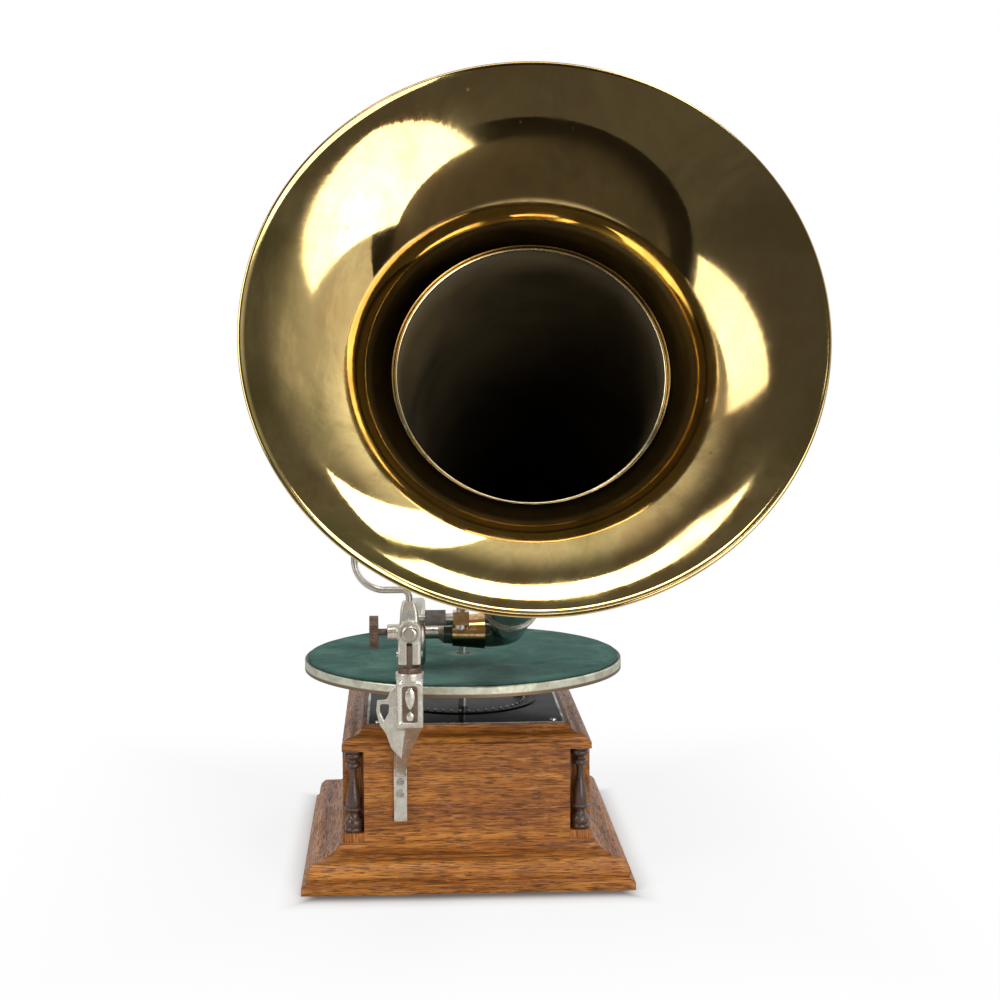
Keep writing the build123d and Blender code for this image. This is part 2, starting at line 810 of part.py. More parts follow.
ratchet_pawl.part.label = "ratchet_pawl"
export_step(ratchet_pawl.part, "parts/ratchet_pawl.step")

# Middle arbor: pinion below, wheel above
pinion_overhang = 1.0       # pinions longer than their wheels at each end

with BuildPart() as middle_arbor:
    with BuildSketch(Plane.XY.offset(frame_plate_bottom)):
        with Locations((middle_x, middle_y)):
            Circle(middle_arbor_radius)
    extrude(amount=plate_top - frame_plate_bottom - arbor_top_drop)
    with BuildSketch(Plane.XY.offset(great_wheel_bottom - pinion_overhang)):
        with Locations(Location((middle_x, middle_y), barrel_angle)):
            Polygon(*gear_outline(pinion_teeth), align=None)
    extrude(amount=great_wheel_thickness + 2 * pinion_overhang)

middle_arbor.part.label = "middle_arbor"
export_step(middle_arbor.part, "parts/middle_arbor.step")

with BuildPart() as middle_wheel:
    with BuildSketch(Plane.XY.offset(middle_wheel_bottom)):
        with Locations(Location((middle_x, middle_y), middle_arbor_angle + 180 + 180 / middle_teeth)):
            Polygon(*gear_outline(middle_teeth), align=None)
        with Locations((middle_x, middle_y)):
            Circle(middle_arbor_radius, mode=Mode.SUBTRACT)
            with PolarLocations(middle_hole_orbit, wheel_hole_count):
                Circle(wheel_hole_radius, mode=Mode.SUBTRACT)
    extrude(amount=middle_wheel_thickness)

middle_wheel.part.label = "middle_wheel"
export_step(middle_wheel.part, "parts/middle_wheel.step")

# Spindle: lower shaft with its pinion, upper shaft, record pin
spindle_neck_drop = 6.0     # thick part of the spindle below the motor plate
spindle_neck_height = plate_bottom - spindle_neck_drop
pin_top = felt_top + record_pin_height

with BuildPart() as spindle:
    with BuildSketch(Plane.XY.offset(frame_plate_bottom)):
        Circle(middle_arbor_radius)
    extrude(amount=spindle_neck_height - frame_plate_bottom)
    with BuildSketch(Plane.XY.offset(spindle_neck_height)):
        Circle(spindle_radius)
    extrude(amount=disc_top - spindle_neck_height)
    with BuildSketch(Plane.XY.offset(disc_top)):
        Circle(pin_neck_radius)
    extrude(amount=pin_neck_height)
    with BuildSketch(Plane.XY.offset(disc_top + pin_neck_height)):
        Circle(record_pin_radius)
    extrude(amount=pin_top - disc_top - pin_neck_height)
    fillet(edges().filter_by(GeomType.CIRCLE).sort_by(Axis.Z)[-1], 0.7 * record_pin_radius)
    with BuildSketch(Plane.XY.offset(middle_wheel_bottom - pinion_overhang)):
        with Locations(Location((0, 0), middle_arbor_angle)):
            Polygon(*gear_outline(pinion_teeth), align=None)
    extrude(amount=middle_wheel_thickness + 2 * pinion_overhang)

spindle.part.label = "spindle"
export_step(spindle.part, "parts/spindle.step")

with BuildPart() as worm_wheel:
    with BuildSketch(Plane.XY.offset(worm_wheel_height - worm_wheel_thickness / 2)):
        Polygon(*gear_outline(worm_wheel_teeth), align=None)
        Circle(middle_arbor_radius, mode=Mode.SUBTRACT)
    extrude(amount=worm_wheel_thickness)

worm_wheel.part.label = "worm_wheel"
export_step(worm_wheel.part, "parts/worm_wheel.step")

# Turntable disc with hub and downturned lip, and its felt
with BuildPart() as turntable_disc:
    with BuildSketch(Plane.XY.offset(disc_bottom)):
        Circle(turntable_radius)
    extrude(amount=turntable_thickness)
    fillet(edges().filter_by(GeomType.CIRCLE).sort_by(Axis.Z)[-1], turntable_edge_radius)
    with BuildSketch(Plane.XY.offset(lip_bottom)):
        Circle(turntable_radius)
        Circle(turntable_radius - turntable_lip_width, mode=Mode.SUBTRACT)
    extrude(amount=turntable_lip)
    with BuildSketch(Plane.XY.offset(hub_bottom)):
        Circle(hub_radius)
    extrude(amount=hub_height)
    with BuildSketch(Plane.XY.offset(hub_bottom)):
        Circle(spindle_radius)
    extrude(amount=hub_height + turntable_thickness, mode=Mode.SUBTRACT)

turntable_disc.part.label = "turntable_disc"
export_step(turntable_disc.part, "parts/turntable_disc.step")

with BuildPart() as felt_mat:
    with BuildSketch(Plane.XY.offset(disc_top)):
        Circle(felt_radius)
        Circle(felt_hole_radius, mode=Mode.SUBTRACT)
    extrude(amount=felt_thickness)

felt_mat.part.label = "felt_mat"
export_step(felt_mat.part, "parts/felt_mat.step")

# Governor: shaft with worm, disc, balls on leaf springs, and two bearing cocks
worm_wheel_tip = gear_module * (worm_wheel_teeth / 2 + tooth_addendum)
governor_y = -(worm_wheel_tip + worm_radius + free_gap)
governor_left = -30.0
governor_disc_x = 16.0
governor_disc_radius = 12.0
weight_radius = 3.6
weight_orbit = 8.6
leaf_length = 15.9
weight_length = 6.0
weight_edge_radius = 1.6
leaf_thickness = 0.8
leaf_width = 4.0
end_ring_radius = 5.8
end_ring_thickness = 2.0
disc_hub_radius = 4.5
disc_hub_length = 3.0
disc_thickness = 1.6
worm_rings = 5
worm_ring_width = 1.6
worm_pitch = 3.0
spring_end_x = governor_disc_x + disc_thickness + leaf_length
weight_x = governor_disc_x + disc_thickness + leaf_length / 2
cock_thickness = 4.0
cock_width = 10.0
cock_rise = 6.0             # cocks above the shaft
cock_height = worm_wheel_height + cock_rise - frame_plate_top
right_cock_x = spring_end_x + end_ring_thickness + 1.0
governor_right = right_cock_x + cock_thickness

with BuildPart() as governor_shaft:
    with BuildSketch(side_plane(governor_left)):
        with Locations((governor_y, worm_wheel_height)):
            Circle(governor_shaft_radius)
    extrude(amount=governor_right - governor_left)
    for ring in range(worm_rings):
        ring_middle = worm_pitch * (ring - (worm_rings - 1) / 2)
        with BuildSketch(side_plane(ring_middle - worm_ring_width / 2)):
            with Locations((governor_y, worm_wheel_height)):
                Circle(worm_radius)
        extrude(amount=worm_ring_width)

governor_shaft.part.label = "governor_shaft"
export_step(governor_shaft.part, "parts/governor_shaft.step")

with BuildPart() as governor_disc:
    with BuildSketch(side_plane(governor_disc_x - disc_hub_length)):
        with Locations((governor_y, worm_wheel_height)):
            Circle(disc_hub_radius)
            Circle(governor_shaft_radius, mode=Mode.SUBTRACT)
    extrude(amount=disc_hub_length)
    with BuildSketch(side_plane(governor_disc_x)):
        with Locations((governor_y, worm_wheel_height)):
            Circle(governor_disc_radius)
            Circle(governor_shaft_radius, mode=Mode.SUBTRACT)
    extrude(amount=disc_thickness)

governor_disc.part.label = "governor_disc"
export_step(governor_disc.part, "parts/governor_disc.step")

with BuildPart() as governor_weights:
    with BuildSketch(side_plane(weight_x - weight_length / 2)):
        with Locations((governor_y, worm_wheel_height)):
            with PolarLocations(weight_orbit, 3):
                Circle(weight_radius)
    extrude(amount=weight_length)
    fillet(edges().filter_by(GeomType.CIRCLE), weight_edge_radius)
    with BuildSketch(side_plane(governor_disc_x + disc_thickness)):
        with Locations((governor_y, worm_wheel_height)):
            with PolarLocations(weight_orbit - weight_radius, 3):
                Rectangle(leaf_thickness, leaf_width)
    extrude(amount=spring_end_x - governor_disc_x - disc_thickness)
    with BuildSketch(side_plane(spring_end_x)):
        with Locations((governor_y, worm_wheel_height)):
            Circle(end_ring_radius)
            Circle(governor_shaft_radius, mode=Mode.SUBTRACT)
    extrude(amount=end_ring_thickness)

governor_weights.part.label = "governor_weights"
export_step(governor_weights.part, "parts/governor_weights.step")

with BuildPart() as governor_cocks:
    for cock_x in (governor_left, right_cock_x):
        with BuildSketch(side_plane(cock_x)):
            with Locations((governor_y, frame_plate_top + cock_height / 2)):
                Rectangle(cock_width, cock_height)
            with Locations((governor_y, worm_wheel_height)):
                Circle(governor_shaft_radius + running_gap, mode=Mode.SUBTRACT)
        extrude(amount=cock_thickness)

governor_cocks.part.label = "governor_cocks"
export_step(governor_cocks.part, "parts/governor_cocks.step")

# Winding crank at the back: shaft with its bevel pinion, arm, grip, escutcheon
bevel_pinion_width = 4.0
bevel_pinion_teeth = bevel_teeth // 2
bevel_pinion_tooth_length = 3.2
bevel_pinion_tooth_width = 1.8
pinion_y = barrel_y + bevel_wheel_radius - bevel_pinion_width
bevel_teeth_top = bevel_wheel_bottom + bevel_rim_height + bevel_tooth_height
pinion_outer = crank_height - bevel_teeth_top - free_gap
arm_y = body_back + crank_reach
arm_thickness = 5.0
arm_width = 11.0
arm_hub_length = 6.0
grip_height = crank_height - crank_arm_length
grip_pin_radius = 2.5
grip_pin_length = crank_grip_length + 2.0

with BuildPart() as crank_shaft:
    with BuildSketch(face_plane(arm_y)):
        with Locations((barrel_x, crank_height)):
            Circle(crank_shaft_radius)
    extrude(amount=arm_y - pinion_y)
    with BuildSketch(face_plane(pinion_y + bevel_pinion_width)):
        with Locations((barrel_x, crank_height)):
            Circle(pinion_outer - bevel_tooth_height)
            with PolarLocations(pinion_outer - bevel_pinion_tooth_length / 2, bevel_pinion_teeth):
                Rectangle(bevel_pinion_tooth_length, bevel_pinion_tooth_width)
    extrude(amount=bevel_pinion_width)

crank_shaft.part.label = "crank_shaft"
export_step(crank_shaft.part, "parts/crank_shaft.step")

with BuildPart() as crank_escutcheon:
    with BuildSketch(face_plane(body_back + escutcheon_thickness)):
        with Locations((barrel_x, crank_height)):
            Circle(escutcheon_radius)
    extrude(amount=escutcheon_thickness)
    with BuildSketch(face_plane(body_back)):
        with Locations((barrel_x, crank_height)):
            Circle(crank_shaft_radius + bushing_wall)
    extrude(amount=panel_thickness)
    with BuildSketch(face_plane(body_back + escutcheon_thickness)):
        with Locations((barrel_x, crank_height)):
            Circle(crank_shaft_radius + running_gap)
    extrude(amount=panel_thickness + escutcheon_thickness, mode=Mode.SUBTRACT)

crank_escutcheon.part.label = "crank_escutcheon"
export_step(crank_escutcheon.part, "parts/crank_escutcheon.step")

with BuildPart() as crank_arm:
    with BuildSketch(face_plane(arm_y + arm_thickness)):
        with Locations((barrel_x, (crank_height + grip_height) / 2)):
            SlotCenterToCenter(crank_arm_length, arm_width, rotation=90)
    extrude(amount=arm_thickness)
    with BuildSketch(face_plane(arm_y)):
        with Locations((barrel_x, crank_height)):
            Circle(arm_width / 2 + 1.0)
            Circle(crank_shaft_radius, mode=Mode.SUBTRACT)
    extrude(amount=arm_hub_length)
    with BuildSketch(face_plane(arm_y + arm_thickness + grip_pin_length)):
        with Locations((barrel_x, grip_height)):
            Circle(grip_pin_radius)
    extrude(amount=grip_pin_length)

crank_arm.part.label = "crank_arm"
export_step(crank_arm.part, "parts/crank_arm.step")

with BuildPart() as crank_grip:
    grip_start = arm_y + arm_thickness + free_gap
    with BuildSketch(Plane(origin=(barrel_x, grip_start, grip_height), x_dir=(1, 0, 0), z_dir=(0, 0, 1))):
        with BuildLine():
            grip_bore = grip_pin_radius + running_gap
            Line((grip_bore, 0), (0.62 * crank_grip_radius, 0))
            Spline(
                (0.62 * crank_grip_radius, 0),
                (0.74 * crank_grip_radius, 0.2 * crank_grip_length),
                (crank_grip_radius, 0.66 * crank_grip_length),
                (0.72 * crank_grip_radius, 0.94 * crank_grip_length),
                (grip_bore, crank_grip_length),
            )
            Line((grip_bore, crank_grip_length), (grip_bore, 0))
        make_face()
    revolve(axis=Axis((barrel_x, 0, grip_height), (0, 1, 0)))

crank_grip.part.label = "crank_grip"
export_step(crank_grip.part, "parts/crank_grip.step")

# Brake lever on its post, with the pad just inside the turntable's lip
brake_orbit = sqrt(brake_post_x ** 2 + brake_post_y ** 2)
brake_angle = degrees(acos(brake_post_x / brake_orbit))
brake_lever_width = 7.0
brake_lever_reach = 12.0    # lever past the turntable's edge
brake_pad_depth = 4.5
brake_pad_gap = 0.5
brake_lever_end = turntable_radius + brake_lever_reach
brake_pad_outer = turntable_radius - turntable_lip_width - brake_pad_gap
brake_pad_inner = brake_pad_outer - brake_pad_depth

with BuildPart() as brake_lever:
    with BuildSketch(Plane.XY.offset(brake_lever_bottom).rotated((0, 0, brake_angle))):
        with Locations(((brake_orbit + brake_lever_end) / 2, 0)):
            SlotCenterToCenter(brake_lever_end - brake_orbit, brake_lever_width)
        with Locations((brake_orbit, 0)):
            Circle(brake_post_radius + 3.0)
            Circle(brake_post_radius + running_gap, mode=Mode.SUBTRACT)
    extrude(amount=brake_lever_thickness)

brake_lever.part.label = "brake_lever"
export_step(brake_lever.part, "parts/brake_lever.step")

with BuildPart() as brake_pad:
    with BuildSketch(Plane.XY.offset(brake_lever_top).rotated((0, 0, brake_angle))):
        with Locations(((brake_pad_inner + brake_pad_outer) / 2, 0)):
            Rectangle(brake_pad_outer - brake_pad_inner, brake_pad_width)
        Circle(brake_pad_outer, mode=Mode.INTERSECT)
    extrude(amount=disc_bottom - brake_lever_top - brake_post_head)

brake_pad.part.label = "brake_pad"
export_step(brake_pad.part, "parts/brake_pad.step")

# Speed knob, its stem through the motor plate
with BuildPart() as speed_knob:
    with BuildSketch(Plane.XY.offset(plate_bottom - speed_stem_drop)):
        with Locations((speed_knob_x, speed_knob_y)):
            Circle(speed_stem_radius)
    extrude(amount=speed_stem_drop + plate_thickness + speed_knob_rise)
    with BuildSketch(Plane.XY.offset(plate_top + speed_knob_rise)):
        with Locations((speed_knob_x, speed_knob_y)):
            Circle(speed_knob_radius)
            with PolarLocations(speed_knob_radius, 24):
                Circle(knurl_radius, mode=Mode.SUBTRACT)
    extrude(amount=speed_knob_height)

speed_knob.part.label = "speed_knob"
export_step(speed_knob.part, "parts/speed_knob.step")

# Front bracket: foot on the front panel, faceted neck, socket block with flange, scroll at the left
bore_end_gap = 1.0
neck_shape = [(0.10, 0.07, 0.25, 0.6), (0.34, 0.22, 0.5, 1.05), (0.70, 0.61, 0.77, 1.4)]
socket_bore_bottom = flange_top - swivel_depth - bore_end_gap
scroll_outline = [
    (-8.4, 31.2), (-13.4, 26.2), (-17.0, 18.8), (-23.8, 18.4), (-24.6, 10.8), (-22.0, 0.6),
    (-17.4, -6.2), (-13.8, -16.8), (-6.4, -24.8), (-3.4, -0.8), (-8.4, 12.2),
]
scroll_eye = [(-15.0, 15.8), (-21.6, 16.0), (-21.8, 10.6), (-18.6, 3.2), (-15.6, 9.2)]
foot_screw_rise = 22.0
foot_screw_spacing = 9.0
foot_screw_heights = (foot_bottom + foot_screw_rise, foot_bottom + foot_screw_rise + foot_screw_spacing)
foot_screws = [(foot_x, height) for height in foot_screw_heights]
foot_screw_radius = 1.7
foot_screw_head = 3.0


def neck_rectangle(x_share, y_share, z_share, depth_share):
    # Centre, width and depth of the neck, given as shares of the way from the foot to the socket
    foot_y = body_front - foot_thickness / 2
    return (
        foot_x + (bracket_x - foot_x) * x_share,
        foot_y + (bracket_y - foot_y) * y_share,
        foot_top + (socket_bottom - foot_top) * z_share,
        foot_width + (socket_width - foot_width) * y_share,
        socket_depth * depth_share,
    )


def from_socket(points):
    # Points set out from the middle of the socket's lower end
    return [(bracket_x + x, socket_bottom + z) for x, z in points]


neck_ends = [(0, 0, 0, foot_thickness / socket_depth), (1, 1, 1, 1)]

with BuildPart() as front_bracket:
    with BuildSketch(Plane.XY.offset(foot_bottom)):
        with Locations((foot_x, body_front - foot_thickness / 2)):
            Rectangle(foot_width, foot_thickness)
    extrude(amount=foot_height)
    for shares in [neck_ends[0], *neck_shape, neck_ends[1]]:
        centre_x, centre_y, height, width, depth = neck_rectangle(*shares)
        with BuildSketch(Plane.XY.offset(height)):
            with Locations((centre_x, centre_y)):
                Rectangle(width, depth)
    loft(ruled=True)
    with BuildSketch(Plane.XY.offset(socket_bottom)):
        with Locations((bracket_x, bracket_y)):
            RectangleRounded(socket_width, socket_depth, socket_corner_radius)
    extrude(amount=socket_height)
    with BuildSketch(Plane.XY.offset(socket_top)):
        with Locations((bracket_x, bracket_y)):
            Circle(flange_radius)
    extrude(amount=flange_height)
    with BuildSketch(face_plane(bracket_y + scroll_thickness / 2)):
        with BuildLine():
            Polyline(*from_socket(scroll_outline), close=True)
        make_face()
        with BuildLine():
            Polyline(*from_socket(scroll_eye), close=True)
        make_face(mode=Mode.SUBTRACT)
    extrude(amount=scroll_thickness)
    with BuildSketch(Plane.XY.offset(socket_bore_bottom)):
        with Locations((bracket_x, bracket_y)):
            Circle(swivel_radius + running_gap)
    extrude(amount=flange_top - socket_bore_bottom, mode=Mode.SUBTRACT)
    with BuildSketch(face_plane(body_front - foot_thickness)):
        with Locations(*foot_screws):
            Circle(foot_screw_radius)
    extrude(amount=-foot_thickness, mode=Mode.SUBTRACT)

front_bracket.part.label = "front_bracket"
export_step(front_bracket.part, "parts/front_bracket.step")

with BuildPart() as bracket_screws:
    with BuildSketch(face_plane(body_front)):
        with Locations(*foot_screws):
            Circle(foot_screw_radius)
    extrude(amount=foot_thickness)
    with BuildSketch(face_plane(body_front - foot_thickness)):
        with Locations(*foot_screws):
            Circle(foot_screw_head)
    extrude(amount=screw_head_height, taper=15)

bracket_screws.part.label = "bracket_screws"
export_step(bracket_screws.part, "parts/bracket_screws.step")

# Swivel post: pin in the socket, collar, tongue with the pivot hole
collar_bottom = flange_top + running_gap
collar_top = collar_bottom + collar_height
tongue_top = pivot_height + tongue_rise

with BuildPart() as swivel_post:
    with BuildSketch(Plane.XY.offset(flange_top - swivel_depth)):
        with Locations((bracket_x, bracket_y)):
            Circle(swivel_radius)
    extrude(amount=swivel_depth + collar_height)
    with BuildSketch(Plane.XY.offset(collar_bottom)):
        with Locations((bracket_x, bracket_y)):
            Circle(collar_radius)
    extrude(amount=collar_height)
    with BuildSketch(Plane.XY.offset(collar_top)):
        with Locations((bracket_x, bracket_y)):
            Rectangle(tongue_width, tongue_depth)
    extrude(amount=tongue_top - collar_top)
    with BuildSketch(side_plane(bracket_x - tongue_width)):
        with Locations((bracket_y, pivot_height)):
            Circle(pivot_radius + running_gap)
    extrude(amount=2 * tongue_width, mode=Mode.SUBTRACT)

swivel_post.part.label = "swivel_post"
export_step(swivel_post.part, "parts/swivel_post.step")

# Fork upright: cheeks over the tongue, boss for the arm rod, collar for the thumb screw
thumb_collar_radius = 5.6
thumb_shank_radius = 2.4
upright_neck = fork_slot_top + 2.0
upright_shoulder = upright_top - 6.0
fork_corner_radius = 2.0
crane_pin_hole = 8.0

with BuildPart() as fork_upright:
    with BuildSketch(Plane.XY.offset(fork_bottom)):
        with Locations((bracket_x, bracket_y)):
            RectangleRounded(fork_width, fork_depth, fork_corner_radius)
    extrude(amount=upright_neck - fork_bottom)
    with BuildSketch(Plane.XY.offset(upright_neck)):
        with Locations((bracket_x, bracket_y)):
            RectangleRounded(fork_width - 1.0, fork_depth - 1.0, fork_corner_radius)
    with BuildSketch(Plane.XY.offset(upright_shoulder)):
        with Locations((bracket_x, bracket_y)):
            RectangleRounded(upright_width, fork_depth - 3.0, fork_corner_radius)
    with BuildSketch(Plane.XY.offset(upright_top)):
        with Locations((bracket_x, bracket_y)):
            RectangleRounded(upright_width - 3.0, fork_depth - 4.0, fork_corner_radius)
    loft(ruled=True)
    with BuildSketch(face_plane(bracket_y + boss_length / 2)):
        with Locations((bracket_x, boss_height)):
            Circle(boss_radius)
    extrude(amount=boss_length)
    with BuildSketch(side_plane(thumb_collar_x)):
        with Locations((bracket_y, boss_height)):
            Circle(thumb_collar_radius)
    extrude(amount=bracket_x - thumb_collar_x)
    with BuildSketch(Plane.XY.offset(fork_bottom - 1)):
        with Locations((bracket_x, bracket_y)):
            Rectangle(fork_slot_width, 2 * fork_depth)
    extrude(amount=fork_slot_top - fork_bottom + 1, mode=Mode.SUBTRACT)
    with BuildSketch(face_plane(bracket_y + boss_length)):
        with Locations((bracket_x, boss_height)):
            Circle(arm_rod_radius)
    extrude(amount=2 * boss_length, mode=Mode.SUBTRACT)
    with BuildSketch(side_plane(thumb_collar_x)):
        with Locations((bracket_y, boss_height)):
            Circle(thumb_shank_radius + running_gap)
    extrude(amount=bracket_x - thumb_collar_x, mode=Mode.SUBTRACT)
    with BuildSketch(Plane.XY.offset(upright_top - crane_pin_hole)):
        with Locations((bracket_x, bracket_y)):
            Circle(crane_wire_radius)
    extrude(amount=crane_pin_hole, mode=Mode.SUBTRACT)
    with BuildSketch(side_plane(bracket_x - fork_width)):
        with Locations((bracket_y, pivot_height)):
            Circle(pivot_radius)
    extrude(amount=2 * fork_width, mode=Mode.SUBTRACT)

fork_upright.part.label = "fork_upright"
export_step(fork_upright.part, "parts/fork_upright.step")

with BuildPart() as pivot_screw:
    with BuildSketch(side_plane(bracket_x - fork_width / 2)):
        with Locations((bracket_y, pivot_height)):
            Circle(pivot_radius)
    extrude(amount=fork_width)
    with BuildSketch(side_plane(bracket_x + fork_width / 2)):
        with Locations((bracket_y, pivot_height)):
            Circle(pivot_head_radius)
    extrude(amount=pivot_head_height)
    with BuildSketch(side_plane(bracket_x - fork_width / 2)):
        with Locations((bracket_y, pivot_height)):
            Circle(pivot_head_radius)
    extrude(amount=-pivot_head_height)

pivot_screw.part.label = "pivot_screw"
export_step(pivot_screw.part, "parts/pivot_screw.step")

# Arm rod with domed head, and the cross bar that carries the horn's clamp
arm_rod_front = bracket_y - boss_length / 2
arm_rod_head_length = 3.4
arm_rod_dome_radius = 3.0
thumb_tip_x = bracket_x - arm_rod_radius - seat_gap

with BuildPart() as arm_rod:
    with BuildSketch(face_plane(arm_rod_back + crossbar_radius)):
        with Locations((bracket_x, boss_height)):
            Circle(arm_rod_radius)
    extrude(amount=arm_rod_back + crossbar_radius - arm_rod_front)
    with BuildSketch(face_plane(arm_rod_front)):
        with Locations((bracket_x, boss_height)):
            Circle(arm_rod_head)
    extrude(amount=arm_rod_head_length)
    fillet(edges().filter_by(GeomType.CIRCLE).sort_by(Axis.Y)[0], arm_rod_dome_radius)
    with BuildSketch(side_plane(bracket_x)):
        with Locations((arm_rod_back, boss_height)):
            Circle(crossbar_radius)
    extrude(amount=clamp_left - bracket_x)

arm_rod.part.label = "arm_rod"
export_step(arm_rod.part, "parts/arm_rod.step")

sleeve_left = clamp_left - sleeve_offset - sleeve_length

with BuildPart() as rubber_sleeve:
    with BuildSketch(side_plane(sleeve_left)):
        with Locations((arm_rod_back, boss_height)):
            Circle(sleeve_radius)
            Circle(crossbar_radius, mode=Mode.SUBTRACT)
    extrude(amount=sleeve_length)

rubber_sleeve.part.label = "rubber_sleeve"
export_step(rubber_sleeve.part, "parts/rubber_sleeve.step")

with BuildPart() as thumb_screw:
    with BuildSketch(side_plane(thumb_disc_x)):
        with Locations((bracket_y, boss_height)):
            Circle(thumb_shank_radius)
    extrude(amount=thumb_tip_x - thumb_disc_x)
    with BuildSketch(side_plane(thumb_disc_x)):
        with Locations((bracket_y, boss_height)):
            Circle(thumb_disc_radius)
            with PolarLocations(thumb_disc_radius, 36):
                Circle(knurl_radius, mode=Mode.SUBTRACT)
    extrude(amount=thumb_disc_width)

thumb_screw.part.label = "thumb_screw"
export_step(thumb_screw.part, "parts/thumb_screw.step")

# Elbow: tapered tube along X, then a bend up the horn's axis
bend_start_x = elbow_x - bend_tangent
bend_end = elbow_corner + horn_axis * bend_tangent
elbow_taper = (horn_throat_radius - elbow_end_radius) / (bend_start_x - elbow_end_x)


def elbow_tube(reduction):
    # The tube's solid, each radius smaller by the reduction
    with BuildPart() as tube:
        with BuildSketch(side_plane(elbow_end_x)):
            with Locations((elbow_y, elbow_height)):
                Circle(elbow_end_radius - reduction)
        with BuildSketch(side_plane(bend_start_x)):
            with Locations((elbow_y, elbow_height)):
                Circle(horn_throat_radius - reduction)
        loft()
        with BuildLine() as bend:
            TangentArc(Vector(bend_start_x, elbow_y, elbow_height), bend_end, tangent=(1, 0, 0))
        with BuildSketch(side_plane(bend_start_x)):
            with Locations((elbow_y, elbow_height)):
                Circle(horn_throat_radius - reduction)
        sweep(path=bend.line)
    return tube.part


with BuildPart() as elbow:
    add(elbow_tube(0))
    add(elbow_tube(elbow_wall), mode=Mode.SUBTRACT)

elbow.part.label = "elbow"
export_step(elbow.part, "parts/elbow.step")

# Clamp band round the elbow, its ear on the cross bar, and the wing screw through the ear
clamp_right = clamp_left + clamp_width
ear_width = 12.0
ear_height = 10.0
ear_wall = 1.6
ear_root = 6.0              # ear behind the cross bar's axis
ear_top = boss_height + ear_height / 2
ear_bottom = boss_height - ear_height / 2
wing_x = clamp_left + ear_width / 2
wing_screw_radius = 2.0
wing_span = 9.0
wing_height = 8.4
wing_thickness = 1.8
wing_shoulder_radius = 3.4
wing_shoulder_height = 2.6
wing_nut_radius = 4.4
wing_nut_height = 3.0


def clamp_circle(x, wall):
    radius = elbow_end_radius + (x - elbow_end_x) * elbow_taper + seat_gap + wall
    with Locations((elbow_y, elbow_height)):
        Circle(radius)


with BuildPart() as clamp_band:
    with BuildSketch(side_plane(clamp_left)):
        clamp_circle(clamp_left, clamp_wall)
    with BuildSketch(side_plane(clamp_right)):
        clamp_circle(clamp_right, clamp_wall)
    loft()
    with BuildSketch(side_plane(clamp_left)):
        with BuildLine():
            ear_front = arm_rod_back - crossbar_radius - ear_wall
            Polyline(
                (ear_front, ear_bottom),
                (ear_front, ear_top),
                (arm_rod_back + ear_root, ear_top),
                (elbow_y - 2.0, elbow_height + elbow_end_radius),
                (elbow_y - elbow_end_radius, elbow_height + 2.0),
                (arm_rod_back + ear_root, ear_bottom),
                close=True,
            )
        make_face()
    extrude(amount=ear_width)
    with BuildSketch(side_plane(clamp_left)):
        clamp_circle(clamp_left, 0)
    with BuildSketch(side_plane(clamp_right)):
        clamp_circle(clamp_right, 0)
    loft(mode=Mode.SUBTRACT)
    with BuildSketch(Plane.XY.offset(boss_height - ear_height)):
        with Locations((wing_x, arm_rod_back)):
            Circle(wing_screw_radius + running_gap)
    extrude(amount=2 * ear_height, mode=Mode.SUBTRACT)

clamp_band.part.label = "clamp_band"
export_step(clamp_band.part, "parts/clamp_band.step")

with BuildPart() as wing_screw:
    with BuildSketch(Plane.XY.offset(ear_bottom - wing_nut_height - 1.0)):
        with Locations((wing_x, arm_rod_back)):
            Circle(wing_screw_radius)
    extrude(amount=ear_height + wing_nut_height + wing_shoulder_height + 3.4)
    with BuildSketch(Plane.XY.offset(ear_top + running_gap)):
        with Locations((wing_x, arm_rod_back)):
            Circle(wing_shoulder_radius)
    extrude(amount=wing_shoulder_height)
    with BuildSketch(face_plane(arm_rod_back + wing_thickness / 2)):
        with Locations((wing_x, ear_top + 6.0)):
            Ellipse(wing_span / 2, wing_height / 2)
    extrude(amount=wing_thickness)
    with BuildSketch(Plane.XY.offset(ear_bottom - running_gap)):
        with Locations((wing_x, arm_rod_back)):
            Circle(wing_nut_radius)
    extrude(amount=-wing_nut_height)

wing_screw.part.label = "wing_screw"
export_step(wing_screw.part, "parts/wing_screw.step")

# Sound box on the elbow's end: body with its ferrule, diaphragm, bezel
box_back_x = elbow_end_x - ferrule_length
box_front_x = box_back_x - sound_box_depth
diaphragm_radius = sound_box_radius - bezel_width + 1.0
cavity_depth = 4.0
ferrule_flare = 4.0
sound_bore_radius = ferrule_radius - 2.0
box_edge_radius = 3.0

